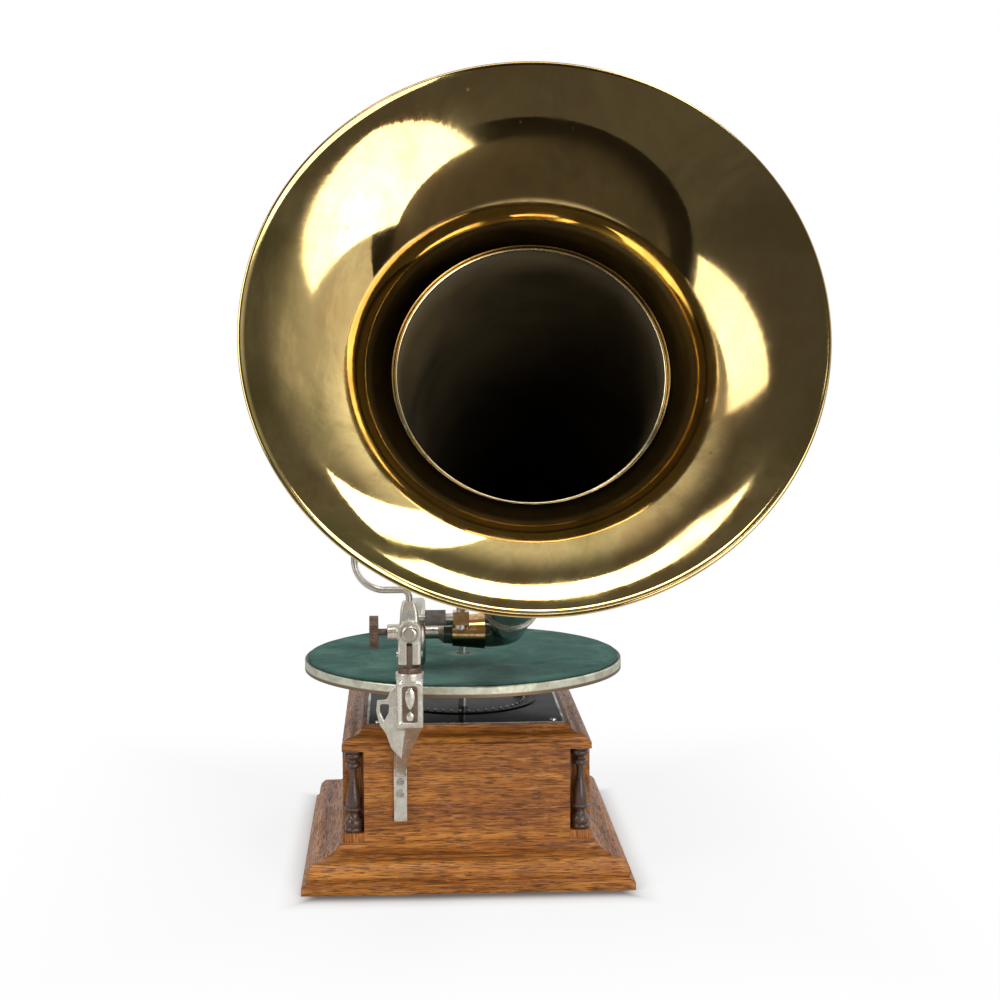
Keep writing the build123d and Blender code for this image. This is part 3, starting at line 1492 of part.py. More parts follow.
with BuildPart() as sound_box_body:
    with BuildSketch(side_plane(box_front_x)):
        with Locations((elbow_y, elbow_height)):
            Circle(sound_box_radius)
    extrude(amount=sound_box_depth)
    fillet(edges().filter_by(GeomType.CIRCLE).sort_by(Axis.X)[-1], box_edge_radius)
    with BuildSketch(side_plane(box_back_x)):
        with Locations((elbow_y, elbow_height)):
            Circle(ferrule_radius)
    extrude(amount=ferrule_length - ferrule_flare)
    with BuildSketch(side_plane(elbow_end_x - ferrule_flare)):
        with Locations((elbow_y, elbow_height)):
            Circle(ferrule_radius)
    with BuildSketch(side_plane(elbow_end_x)):
        with Locations((elbow_y, elbow_height)):
            Circle(elbow_end_radius)
    loft()
    with BuildSketch(side_plane(box_front_x)):
        with Locations((elbow_y, elbow_height)):
            Circle(diaphragm_radius - 1.5)
    extrude(amount=cavity_depth, mode=Mode.SUBTRACT)
    with BuildSketch(side_plane(box_front_x)):
        with Locations((elbow_y, elbow_height)):
            Circle(diaphragm_radius + seat_gap)
    extrude(amount=diaphragm_thickness, mode=Mode.SUBTRACT)
    with BuildSketch(side_plane(box_front_x)):
        with Locations((elbow_y, elbow_height)):
            Circle(sound_bore_radius)
    extrude(amount=elbow_end_x - box_front_x, mode=Mode.SUBTRACT)

sound_box_body.part.label = "sound_box_body"
export_step(sound_box_body.part, "parts/sound_box_body.step")

with BuildPart() as diaphragm:
    with BuildSketch(side_plane(box_front_x)):
        with Locations((elbow_y, elbow_height)):
            Circle(diaphragm_radius)
    extrude(amount=diaphragm_thickness)

diaphragm.part.label = "diaphragm"
export_step(diaphragm.part, "parts/diaphragm.step")

# Bezel with two lugs that hold the needle lever's pivot
needle_out = Vector(0, cos(radians(needle_angle)), sin(radians(needle_angle)))
needle_across = Vector(0, -needle_out.Z, needle_out.Y)
box_centre = Vector(0, elbow_y, elbow_height)
needle_tip_distance = (elbow_height - felt_top - record_thickness) / -needle_out.Z
bezel_face_x = box_front_x - bezel_thickness
lever_x = bezel_face_x - 2.9
lever_thickness = 2.2
lever_width = 3.0
lever_pivot_distance = sound_box_radius - bezel_width / 2
lever_pivot_radius = 0.8
lug_width = 2.2
lug_length = 3.2
lug_spacing = 7.6
lug_height = bezel_face_x - lever_x + 1.6
chuck_radius = 2.2
chuck_start = sound_box_radius - 3.0
chuck_length = 7.0
chuck_bore = 4.0
needle_point_length = 3.0
link_radius = 1.2
link_gap = 0.9              # link to the diaphragm
lever_pivot = box_centre + needle_out * lever_pivot_distance

with BuildPart() as sound_box_bezel:
    with BuildSketch(side_plane(box_front_x)):
        with Locations((elbow_y, elbow_height)):
            Circle(sound_box_radius)
            Circle(sound_box_radius - bezel_width, mode=Mode.SUBTRACT)
    extrude(amount=-bezel_thickness)
    with BuildSketch(side_plane(bezel_face_x)):
        with Locations(Location((lever_pivot.Y, lever_pivot.Z), needle_angle)):
            with GridLocations(1, lug_spacing, 1, 2):
                Rectangle(lug_length, lug_width)
    extrude(amount=-lug_height)
    with BuildSketch(Plane(origin=lever_pivot + Vector(lever_x, 0, 0), x_dir=(1, 0, 0), z_dir=needle_across)):
        Circle(lever_pivot_radius + running_gap)
    extrude(amount=lug_spacing, both=True, mode=Mode.SUBTRACT)

sound_box_bezel.part.label = "sound_box_bezel"
export_step(sound_box_bezel.part, "parts/sound_box_bezel.step")


# Needle lever across the diaphragm, with its pivot, link, chuck and needle
def needle_plane(distance):
    # Plane square to the needle, at a distance from the sound box's centre
    middle = box_centre + needle_out * distance + Vector(lever_x, 0, 0)
    return Plane(origin=middle, x_dir=(1, 0, 0), z_dir=needle_out)


with BuildPart() as needle_lever:
    with BuildSketch(needle_plane(-2.5)):
        Rectangle(lever_thickness, lever_width)
    extrude(amount=chuck_start + 3.0)
    with BuildSketch(side_plane(lever_x)):
        with Locations((elbow_y, elbow_height)):
            Circle(link_radius)
    extrude(amount=box_front_x - lever_x - link_gap)
    with BuildSketch(needle_plane(chuck_start)):
        Circle(chuck_radius)
    extrude(amount=chuck_length)
    with BuildSketch(Plane(origin=lever_pivot + Vector(lever_x, 0, 0), x_dir=(1, 0, 0), z_dir=needle_across)):
        Circle(lever_pivot_radius)
    extrude(amount=(lug_spacing + lug_width) / 2, both=True)
    with BuildSketch(needle_plane(chuck_start + chuck_length - chuck_bore)):
        Circle(needle_radius)
    extrude(amount=chuck_length, mode=Mode.SUBTRACT)

needle_lever.part.label = "needle_lever"
export_step(needle_lever.part, "parts/needle_lever.step")

with BuildPart() as needle:
    needle_start = chuck_start + chuck_length - chuck_bore
    with BuildSketch(needle_plane(needle_start)):
        Circle(needle_radius)
    extrude(amount=needle_tip_distance - needle_point_length - needle_start)
    with BuildSketch(needle_plane(needle_tip_distance - needle_point_length)):
        Circle(needle_radius)
    with BuildSketch(needle_plane(needle_tip_distance)):
        Circle(needle_tip_radius)
    loft()

needle.part.label = "needle"
export_step(needle.part, "parts/needle.step")

# Horn: cone, bell with collar and wired rim, band for the crane
throat_wall = horn_throat_radius - horn_wall

with BuildPart() as horn_cone:
    with BuildSketch(horn_profile_plane):
        with BuildLine():
            Polyline(
                (bell_throat_radius, -bell_depth),
                (horn_throat_radius, -horn_throat_depth),
                (throat_wall, -horn_throat_depth),
                (bell_throat_radius - horn_wall, -bell_depth),
                close=True,
            )
        make_face()
    revolve(axis=Axis(bell_centre, horn_axis))

horn_cone.part.label = "horn_cone"
export_step(horn_cone.part, "parts/horn_cone.step")

with BuildPart() as horn_bell:
    with BuildSketch(horn_profile_plane):
        with BuildLine():
            lip = bell_radius - bell_bead_radius
            collar_end = bell_depth + bell_collar_length
            inner_throat = bell_throat_radius + seat_gap
            inner_end = horn_radius(collar_end) + seat_gap
            Spline((inner_throat, -bell_depth), (lip, 0), tangents=((0.1, 1), (1, 0.16)))
            Line((lip, 0), (lip, -bell_wall))
            outer_throat = inner_throat + bell_wall
            Spline((lip, -bell_wall), (outer_throat, -bell_depth), tangents=((-1, -0.16), (-0.1, -1)))
            Polyline(
                (outer_throat, -bell_depth),
                (inner_end + bell_wall, -collar_end),
                (inner_end, -collar_end),
                (inner_throat, -bell_depth),
            )
        make_face()
        with Locations((lip, -bell_wall / 2)):
            Circle(bell_bead_radius)
    revolve(axis=Axis(bell_centre, horn_axis))

horn_bell.part.label = "horn_bell"
export_step(horn_bell.part, "parts/horn_bell.step")

band_depth = (bracket_y - bell_centre.Y) / -horn_axis.Y
band_centre = bell_centre - horn_axis * band_depth
band_width = 9.0
band_wall = 1.4
band_lug_radius = 4.0
band_lug_height = 12.0
band_lug_bore = 6.0
cone_top = band_centre.Z + horn_radius(band_depth) / cos(radians(horn_elevation))
lug_top = cone_top + band_lug_height

with BuildPart() as horn_band:
    with BuildSketch(Plane.XY.offset(band_centre.Z)):
        with Locations((band_centre.X, band_centre.Y)):
            Circle(band_lug_radius)
    extrude(amount=lug_top - band_centre.Z)
    with BuildSketch(horn_profile_plane):
        near = band_depth - band_width / 2
        far = band_depth + band_width / 2
        with BuildLine():
            Polyline(
                (0, -near),
                (horn_radius(near) + seat_gap + band_wall, -near),
                (horn_radius(far) + seat_gap + band_wall, -far),
                (0, -far),
                close=True,
            )
        make_face()
    revolve(axis=Axis(bell_centre, horn_axis))
    with BuildSketch(horn_profile_plane):
        near = band_depth - 3 * band_width
        far = band_depth + 3 * band_width
        with BuildLine():
            Polyline(
                (0, -near),
                (horn_radius(near) + seat_gap, -near),
                (horn_radius(far) + seat_gap, -far),
                (0, -far),
                close=True,
            )
        make_face()
    revolve(axis=Axis(bell_centre, horn_axis), mode=Mode.SUBTRACT)
    with BuildSketch(Plane.XY.offset(lug_top - band_lug_bore)):
        with Locations((band_centre.X, band_centre.Y)):
            Circle(crane_wire_radius)
    extrude(amount=band_lug_bore, mode=Mode.SUBTRACT)

horn_band.part.label = "horn_band"
export_step(horn_band.part, "parts/horn_band.step")

# Crane wire from the upright's top, round to the left, up and over to the band
with BuildPart() as crane_wire:
    with BuildLine() as crane_path:
        FilletPolyline(
            (bracket_x, bracket_y, upright_top - crane_pin_hole),
            (bracket_x, bracket_y, crane_low),
            (crane_left, bracket_y, crane_low),
            (crane_left, bracket_y, crane_high),
            (band_centre.X, bracket_y, crane_high),
            (band_centre.X, bracket_y, lug_top - band_lug_bore),
            radius=[crane_foot_bend, crane_bend, crane_bend, crane_end_bend],
        )
    with BuildSketch(Plane.XY.offset(upright_top - crane_pin_hole)):
        with Locations((bracket_x, bracket_y)):
            Circle(crane_wire_radius)
    sweep(path=crane_path.line)

crane_wire.part.label = "crane_wire"
export_step(crane_wire.part, "parts/crane_wire.step")
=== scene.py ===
from math import asin, cos, pi, radians, sin, tan

import bmesh
import bpy
from mathutils import Matrix, Vector


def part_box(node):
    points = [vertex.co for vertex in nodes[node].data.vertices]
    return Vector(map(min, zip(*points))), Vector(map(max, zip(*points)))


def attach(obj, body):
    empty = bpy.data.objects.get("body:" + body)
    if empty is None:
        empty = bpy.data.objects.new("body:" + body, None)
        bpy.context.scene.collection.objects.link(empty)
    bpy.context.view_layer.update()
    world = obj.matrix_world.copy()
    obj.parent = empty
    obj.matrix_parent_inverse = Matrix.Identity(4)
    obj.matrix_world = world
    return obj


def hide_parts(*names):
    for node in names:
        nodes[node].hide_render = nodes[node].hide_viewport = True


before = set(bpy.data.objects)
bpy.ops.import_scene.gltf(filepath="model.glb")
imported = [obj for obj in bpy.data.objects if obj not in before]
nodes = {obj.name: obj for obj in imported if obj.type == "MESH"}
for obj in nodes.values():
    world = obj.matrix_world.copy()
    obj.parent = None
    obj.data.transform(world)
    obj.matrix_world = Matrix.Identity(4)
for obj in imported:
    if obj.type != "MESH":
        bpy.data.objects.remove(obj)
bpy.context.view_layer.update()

mm = 0.001


# A wire is one output of a node; sums and products of wires add their own Math nodes
class Wire:
    def __init__(self, graph, socket):
        self.graph = graph
        self.socket = socket

    def math(self, operation, first, second=0.0):
        return self.graph.add("ShaderNodeMath", {"operation": operation}, {0: first, 1: second})

    def __add__(self, other):
        return self.math("ADD", self, other)

    def __radd__(self, other):
        return self.math("ADD", other, self)

    def __sub__(self, other):
        return self.math("SUBTRACT", self, other)

    def __rsub__(self, other):
        return self.math("SUBTRACT", other, self)

    def __mul__(self, other):
        return self.math("MULTIPLY", self, other)

    def __rmul__(self, other):
        return self.math("MULTIPLY", other, self)

    def __gt__(self, other):
        return self.math("GREATER_THAN", self, other)

    def __lt__(self, other):
        return self.math("LESS_THAN", self, other)

    def __abs__(self):
        return self.math("ABSOLUTE", self)


class Graph:
    def __init__(self, tree):
        self.tree = tree

    def add(self, kind, settings=None, inputs=None, output=0):
        node = self.tree.nodes.new(kind)
        for key, value in (settings or {}).items():
            if key == "stops":
                self.setStops(node, value)
            else:
                setattr(node, key, value)
        for key, value in (inputs or {}).items():
            target = node.inputs[key]
            if isinstance(value, Wire):
                self.tree.links.new(value.socket, target)
            else:
                target.default_value = value
        return Wire(self, node.outputs[output]) if len(node.outputs) else None

    def setStops(self, node, stops):
        ramp = node.color_ramp
        while len(ramp.elements) < len(stops):
            ramp.elements.new(0.5)
        for element, (place, colour) in zip(ramp.elements, stops):
            element.position = place
            element.color = (*colour, 1)

    def larger(self, first, second):
        return self.add("ShaderNodeMath", {"operation": "MAXIMUM"}, {0: first, 1: second})

    def level(self, value, low, high, newLow=0.0, newHigh=1.0):
        # Smooth step from newLow to newHigh while the value goes from low to high
        inputs = {"Value": value, "From Min": low, "From Max": high, "To Min": newLow, "To Max": newHigh}
        return self.add("ShaderNodeMapRange", {"interpolation_type": "SMOOTHSTEP"}, inputs)


class Finish(Graph):
    def __init__(self, name):
        self.material = bpy.data.materials.new(name)
        self.material.use_nodes = True
        super().__init__(self.material.node_tree)
        self.tree.nodes.clear()

    def place(self, scale=(1, 1, 1), offset=(0, 0, 0), turn=(0, 0, 0)):
        here = self.add("ShaderNodeTexCoord", output="Object")
        inputs = {"Vector": here, "Scale": scale, "Location": offset, "Rotation": turn}
        return self.add("ShaderNodeMapping", None, inputs)

    def axes(self):
        here = self.add("ShaderNodeTexCoord", output="Object")
        split = self.add("ShaderNodeSeparateXYZ", None, {0: here}).socket.node
        return [Wire(self, split.outputs[k]) for k in range(3)]

    def fromSpindle(self):
        x, y, z = self.axes()
        return self.add("ShaderNodeMath", {"operation": "SQRT"}, {0: x * x + y * y})

    def noise(self, where, scale, detail=4, roughness=0.5, distortion=0.0):
        inputs = {"Vector": where, "Scale": scale, "Detail": detail, "Roughness": roughness}
        return self.add("ShaderNodeTexNoise", None, {**inputs, "Distortion": distortion})

    def speckle(self, where, scale):
        return self.add("ShaderNodeTexVoronoi", None, {"Vector": where, "Scale": scale}, "Distance")

    def ramp(self, value, stops):
        return self.add("ShaderNodeValToRGB", {"stops": stops}, {"Fac": value})

    def blend(self, share, first, second):
        # Inputs 6 and 7 and output 2 are the Mix node's colours
        first, second = [c if isinstance(c, Wire) else (*c, 1) for c in (first, second)]
        inputs = {0: share, 6: first, 7: second}
        return self.add("ShaderNodeMix", {"data_type": "RGBA"}, inputs, output=2)

    def close(self, height, depth, strength, **sockets):
        names = {"colour": "Base Color", "coat": "Coat Weight", "coatRoughness": "Coat Roughness",
                 "sheen": "Sheen Weight", "shine": "Specular IOR Level"}
        inputs = {names.get(key, key.capitalize()): value for key, value in sockets.items()}
        bump = {"Height": height, "Distance": depth, "Strength": strength}
        inputs["Normal"] = self.add("ShaderNodeBump", None, bump)
        surface = self.add("ShaderNodeBsdfPrincipled", None, inputs)
        self.add("ShaderNodeOutputMaterial", None, {"Surface": surface})
        return self.material


print("stage: materials")
oakLook = {
    "light": (0.56, 0.225, 0.036),
    "middle": (0.33, 0.11, 0.016),
    "dark": (0.085, 0.024, 0.007),
    "fleck": (0.62, 0.30, 0.10),
    "mitre": (0.03, 0.012, 0.006),
    "mitreWidth": 0.35 * mm,
    "rayTilt": radians(14),
    "roughness": 0.40,
    "coat": 0.18,
}


def oak(name, grain, look=oakLook):
    # Oak whose grain runs along x, y or z, or round the case with mitres at its corners
    wood = Finish(name)
    x, y, z = wood.axes()
    stretch = {"x": (1, 16, 16), "y": (16, 1, 16), "z": (16, 16, 1)}
    seam = None

    def figure(direction, shift):
        # Broad bands, fine lines and pores, all drawn out along the grain
        where = wood.place(stretch[direction], (shift, shift, shift))
        broad = wood.noise(where, 5.5, 5, 0.6, 0.12)
        lines = wood.noise(where, 34, 4, 0.65, 0.04)
        pores = wood.noise(wood.place(tuple(5 if s == 1 else 86 for s in stretch[direction])), 17, 2, 0.5)
        return broad, lines, pores

    if grain == "frame":
        edgeX = caseSize["halfWidth"] - abs(x)
        edgeY = caseSize["halfDepth"] - abs(y - caseSize["setback"])
        mask = edgeX > edgeY
        seam = abs(edgeX - edgeY) < look["mitreWidth"]
        alongX = figure("x", 0.0)
        alongY = figure("y", 3.1)
        broad, lines, pores = [a * mask + b * (1 - mask) for a, b in zip(alongX, alongY)]
    else:
        broad, lines, pores = figure(grain, {"x": 0.0, "y": 1.7, "z": 4.3}[grain])
    tone = broad * 0.55 + lines * 0.45
    colour = wood.ramp(tone, [(0.34, look["dark"]), (0.47, look["middle"]), (0.62, look["light"])])
    rays = wood.noise(wood.place((60, 60, 210), (0, 0, 0), (0, look["rayTilt"], 0)), 1.7, 2, 0.5, 0.3)
    fleck = wood.level(rays, 0.60, 0.68)
    colour = wood.blend(fleck * 0.3, colour, look["fleck"])
    pore = wood.level(pores, 0.535, 0.585)
    colour = wood.blend(pore * 0.8, colour, look["dark"])
    grime = wood.noise(wood.place(), 22, 4, 0.6)
    colour = wood.blend(wood.level(grime, 0.55, 0.78) * 0.45, colour, look["dark"])
    if seam is not None:
        colour = wood.blend(seam * 0.8, colour, look["mitre"])
    rough = look["roughness"] + wood.level(grime, 0.3, 0.8) * 0.16 + pore * 0.2
    return wood.close(colour=colour, roughness=rough, coat=look["coat"], coatRoughness=0.22, shine=0.3,
                      height=lines * 0.3 - pore, depth=0.16 * mm, strength=0.7)


darkOakLook = {
    **oakLook,
    "light": (0.095, 0.045, 0.026),
    "middle": (0.062, 0.030, 0.018),
    "dark": (0.028, 0.014, 0.010),
    "fleck": (0.17, 0.09, 0.05),
    "roughness": 0.28,
    "coat": 0.5,
}


def metal(name, look):
    # Plated or bare metal with dull patches, small pits and rubbed places
    piece = Finish(name)
    cloud = piece.noise(piece.place(), look.get("cloud", 60), 5, 0.62, 0.4)
    grit = piece.noise(piece.place(), 900, 3, 0.6)
    pits = piece.speckle(piece.place(), 420)
    dull = piece.level(cloud, 0.5 - look["spread"], 0.5 + look["spread"])
    colour = piece.blend(dull, look["clean"], look["stained"])
    pitted = piece.level(pits, 0.16, 0.06) * piece.level(cloud, 0.45, 0.7)
    colour = piece.blend(pitted * look.get("pitted", 0.5), colour, look["pit"])
    rough = look["smooth"] + dull * look["dull"] + grit * 0.06
    return piece.close(colour=colour, metallic=look.get("metallic", 1.0), roughness=rough,
                       height=grit * 0.4 - pitted + cloud * 0.6, depth=0.2 * mm,
                       strength=look.get("bump", 0.35))


nickelLook = {
    "clean": (0.66, 0.64, 0.59), "stained": (0.42, 0.37, 0.29), "pit": (0.17, 0.11, 0.07),
    "smooth": 0.17, "dull": 0.22, "spread": 0.24, "pitted": 0.65,
}
rimLook = {
    "clean": (0.66, 0.66, 0.52), "stained": (0.46, 0.44, 0.33), "pit": (0.20, 0.13, 0.08),
    # under is painted shade on the turntable's underside
    "lip": (0.20, 0.13, 0.08), "line": (0.03, 0.035, 0.03), "under": (0.025, 0.022, 0.02),
    "lipTop": 155.5, "lipFull": 154.4, "lineBottom": 160.4, "lineFull": 160.9,
    "underEdge": 124.5 * mm, "underFull": 122.5 * mm,
}
castLook = {
    "clean": (0.72, 0.69, 0.61), "stained": (0.50, 0.45, 0.36), "pit": (0.22, 0.14, 0.09),
    "smooth": 0.2, "dull": 0.18, "spread": 0.2, "cloud": 130, "pitted": 0.7,
    "bump": 0.4, "metallic": 0.8,
}
bronzeLook = {
    "clean": (0.22, 0.155, 0.11), "stained": (0.105, 0.072, 0.05), "pit": (0.04, 0.025, 0.02),
    "smooth": 0.34, "dull": 0.2, "spread": 0.2, "cloud": 150, "metallic": 0.85, "bump": 0.5,
}
steelLook = {
    "clean": (0.58, 0.57, 0.55), "stained": (0.30, 0.27, 0.24), "pit": (0.16, 0.10, 0.07),
    "smooth": 0.18, "dull": 0.22, "spread": 0.2, "cloud": 120,
}
copperLook = {
    # shade is a painted reflection of the black elbow on the band's lower half
    "clean": (0.80, 0.52, 0.24), "stained": (0.48, 0.27, 0.10), "shade": (0.02, 0.014, 0.01),
    "shadeTop": 189.5, "shadeFull": 187.0,
}
seamLook = {
    "clean": (0.86, 0.76, 0.50), "stained": (0.60, 0.46, 0.24), "pit": (0.2, 0.12, 0.05),
    "smooth": 0.12, "dull": 0.15, "spread": 0.2, "cloud": 60, "pitted": 0.3,
}
motorBrassLook = {
    "clean": (0.66, 0.49, 0.20), "stained": (0.38, 0.26, 0.10), "pit": (0.12, 0.07, 0.03),
    "smooth": 0.2, "dull": 0.2, "spread": 0.2, "cloud": 110,
}


def turntableRim(look):
    # Aged plating: a dark line under the felt, pale side, browned lower lip, and painted shade darkening
    # the underside
    rim = Finish("rim")
    x, y, z = rim.axes()
    cloud = rim.noise(rim.place(), 75, 5, 0.65, 0.5)
    grit = rim.noise(rim.place(), 700, 3, 0.6)
    height = z * (1 / mm) + cloud * 0.5
    colour = rim.blend(rim.level(cloud, 0.4, 0.65), look["clean"], look["stained"])
    colour = rim.blend(rim.level(height, look["lipTop"], look["lipFull"]), colour, look["lip"])
    colour = rim.blend(rim.level(height, look["lineBottom"], look["lineFull"]), colour, look["line"])
    colour = rim.blend(rim.level(grit, 0.62, 0.72) * 0.5, colour, look["pit"])
    # Painted shade: the underside inside the rim is darkened where shade falls under the turntable
    inside = rim.level(rim.fromSpindle(), look["underEdge"], look["underFull"])
    colour = rim.blend(inside, colour, look["under"])
    return rim.close(colour=colour, metallic=0.75, roughness=0.3 + cloud * 0.2,
                     height=grit + cloud, depth=0.2 * mm, strength=0.4)


def clampCopper(look):
    # Copper band that mirrors the room above, with a painted reflection of the black elbow darkening it
    # below its middle
    band = Finish("clampCopper")
    x, y, z = band.axes()
    cloud = band.noise(band.place(), 160, 4, 0.6)
    colour = band.blend(band.level(cloud, 0.4, 0.65), look["clean"], look["stained"])
    # Painted reflection: the band is darkened below its middle where it mirrors the black elbow
    shaded = band.level(z * (1 / mm) + cloud * 2, look["shadeTop"], look["shadeFull"])
    colour = band.blend(shaded * 0.92, colour, look["shade"])
    return band.close(colour=colour, metallic=1.0, roughness=0.12 + cloud * 0.12,
                      height=cloud, depth=0.2 * mm, strength=0.4)


bellLook = {
    "olive": (0.46, 0.36, 0.12),
    "bright": (0.70, 0.52, 0.21),
    "warm": (0.56, 0.36, 0.13),
    "brown": (0.33, 0.215, 0.095),
    "streaks": (0.29, 0.23, 0.09),
    "patina": (0.22, 0.15, 0.065),
    "spots": (0.10, 0.06, 0.03),
    "roughness": 0.035,
    "brownShare": 0.5,
    "patinaShare": 0.5,
}


def bellBrass(look=bellLook):
    # Polished brass with olive and brown patina in clouds, browner and darker up and to the right
    brass = Finish("bellBrass")
    x, y, z = brass.axes()
    cloud = brass.noise(brass.place(), 11, 5, 0.6, 0.8)
    streak = brass.noise(brass.place((1.0, 1.0, 0.5), (4, 2, 1)), 26, 6, 0.7, 1.2)
    polish = brass.noise(brass.place((1, 1, 1), (0, 0, 7)), 210, 4, 0.6)
    spots = brass.speckle(brass.place(), 75)
    drift = brass.level(x * 0.75 + z + cloud * 0.16, 0.40, 0.64)
    colour = brass.ramp(cloud, [(0.36, look["olive"]), (0.5, look["bright"]), (0.64, look["warm"])])
    colour = brass.blend(drift * look["brownShare"], colour, look["brown"])
    colour = brass.blend(brass.level(streak, 0.52, 0.70) * 0.45, colour, look["streaks"])
    tarnish = brass.noise(brass.place((1, 1, 0.7), (9, 3, 5)), 6.5, 7, 0.68, 1.4)
    patina = brass.level(tarnish, 0.47, 0.64)
    colour = brass.blend(patina * look["patinaShare"], colour, look["patina"])
    smut = brass.level(spots, 0.10, 0.04) * brass.level(cloud, 0.5, 0.62)
    colour = brass.blend(smut * 0.6, colour, look["spots"])
    rough = look["roughness"] + brass.level(streak, 0.45, 0.75) * 0.07
    rough = rough + polish * 0.03 + patina * 0.05 + smut * 0.2
    return brass.close(colour=colour, metallic=1.0, roughness=rough,
                       height=cloud * 0.8 + streak * 0.10, depth=1.2 * mm, strength=0.10)


japanLook = {"tint": (0.004, 0.004, 0.004), "roughness": 0.16, "coat": 0.04, "shine": 0.01}
enamelLook = {"tint": (0.010, 0.018, 0.012), "roughness": 0.12, "coat": 0.2, "shine": 0.4}
wearLook = {"worn": (0.20, 0.17, 0.13), "dust": (0.40, 0.38, 0.34)}


def blackEnamel(name, look):
    # Black or green-black lacquer with faint clouds, rubbed streaks and dust
    paint = Finish(name)
    tint = look["tint"]
    faded = tuple(c * 2.2 + 0.004 for c in tint)
    cloud = paint.noise(paint.place(), 45, 5, 0.6)
    dust = paint.speckle(paint.place(), 330)
    scuff = paint.noise(paint.place((1, 6, 1)), 120, 4, 0.7)
    colour = paint.blend(paint.level(cloud, 0.35, 0.7) * 0.6, tint, faded)
    worn = paint.level(scuff, 0.68, 0.76)
    colour = paint.blend(worn * 0.25, colour, wearLook["worn"])
    colour = paint.blend(paint.level(dust, 0.07, 0.03) * 0.35, colour, wearLook["dust"])
    rough = look["roughness"] + paint.level(cloud, 0.4, 0.8) * 0.12 + worn * 0.2
    return paint.close(colour=colour, roughness=rough, coat=look["coat"], coatRoughness=0.08,
                       shine=look["shine"], height=cloud * 0.5, depth=0.4 * mm, strength=0.15)


def hornInside():
    # Dull brown-black lacquer inside the cone
    paint = Finish("hornInside")
    cloud = paint.noise(paint.place(), 14, 5, 0.6, 0.5)
    colour = paint.ramp(cloud, [(0.35, (0.020, 0.014, 0.006)), (0.7, (0.065, 0.045, 0.016))])
    return paint.close(colour=colour, roughness=0.5 + cloud * 0.2,
                       height=cloud, depth=0.6 * mm, strength=0.2)


feltLook = {
    "dark": (0.012, 0.062, 0.046),
    "middle": (0.034, 0.130, 0.100),
    "faded": (0.090, 0.220, 0.175),
    "matted": (0.075, 0.165, 0.13),
    "fibre": (0.010, 0.04, 0.033),
    "worn": (0.20, 0.22, 0.17),
    "track": (0.013, 0.04, 0.034),
    "edge": (0.02, 0.05, 0.04),
    "dust": (0.36, 0.38, 0.34),
    "trackRadius": 49 * mm,
}


def feltCloth(look=feltLook):
    # Dark teal felt: cloudy fading, matted fibres, a rubbed ring round the spindle and dust
    felt = Finish("feltCloth")
    cloud = felt.noise(felt.place(), 24, 6, 0.65, 0.6)
    fibre = felt.noise(felt.place(), 1500, 4, 0.7, 1.5)
    matted = felt.noise(felt.place((1, 2, 1)), 170, 6, 0.75, 1.2)
    dust = felt.speckle(felt.place(), 240)
    radius = felt.fromSpindle()
    colour = felt.ramp(cloud, [(0.32, look["dark"]), (0.5, look["middle"]), (0.68, look["faded"])])
    colour = felt.blend(felt.level(matted, 0.48, 0.66) * 0.6, colour, look["matted"])
    colour = felt.blend(felt.level(fibre, 0.5, 0.8) * 0.3, colour, look["fibre"])
    worn = felt.level(radius + cloud * 0.008, 20 * mm, 11 * mm)
    colour = felt.blend(worn * 0.6, colour, look["worn"])
    offTrack = abs(radius - look["trackRadius"] - cloud * 0.002)
    track = felt.level(offTrack, 3.5 * mm, 1.0 * mm) * felt.level(cloud, 0.42, 0.6)
    colour = felt.blend(track * 0.3, colour, look["track"])
    edge = felt.level(radius, 119.5 * mm, 124.5 * mm)
    colour = felt.blend(edge * 0.35, colour, look["edge"])
    colour = felt.blend(felt.level(dust, 0.085, 0.04) * 0.85, colour, look["dust"])
    return felt.close(colour=colour, roughness=0.93, shine=0.08, sheen=0.12,
                      height=matted * 0.7 + fibre * 0.4 + cloud, depth=0.6 * mm, strength=1.0)


def plain(name, colour, roughness, metallic=0.0):
    # Small pieces that show little more than a faint cloud
    finish = Finish(name)
    cloud = finish.noise(finish.place(), 300, 4, 0.6)
    dark = tuple(c * 0.6 for c in colour)
    return finish.close(colour=finish.blend(finish.level(cloud, 0.35, 0.65), colour, dark),
                        metallic=metallic, roughness=roughness + cloud * 0.12,
                        height=cloud, depth=0.2 * mm, strength=0.3)


baseLow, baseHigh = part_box("base_moulding")
caseSize = {
    "halfWidth": (baseHigh.x - baseLow.x) / 2,
    "halfDepth": (baseHigh.y - baseLow.y) / 2,
    "setback": (baseHigh.y + baseLow.y) / 2,
}
looks = {
    "oakAcross": oak("oakAcross", "x"),
    "oakDeep": oak("oakDeep", "y"),
    "oakUpright": oak("oakUpright", "z"),
    "oakFrame": oak("oakFrame", "frame"),
    "darkOak": oak("darkOak", "z", darkOakLook),
    "japan": blackEnamel("japan", japanLook),
    "enamel": blackEnamel("enamel", enamelLook),
    "nickel": metal("nickel", nickelLook),
    "cast": metal("cast", castLook),
    "rim": turntableRim(rimLook),
    "bronze": metal("bronze", bronzeLook),
    "steel": metal("steel", steelLook),
    "copper": clampCopper(copperLook),
    "seam": metal("seam", seamLook),
    "motorBrass": metal("motorBrass", motorBrassLook),
    "castIron": plain("castIron", (0.10, 0.10, 0.10), 0.5, 0.8),
    "brassBell": bellBrass(),
    "hornInside": hornInside(),
    "felt": feltCloth(),
    "rubber": plain("rubber", (0.13, 0.105, 0.09), 0.6),
    "leather": plain("leather", (0.22, 0.12, 0.06), 0.6),
    "mica": plain("mica", (0.62, 0.57, 0.46), 0.2),
    "grip": oak("grip", "y", darkOakLook),
}
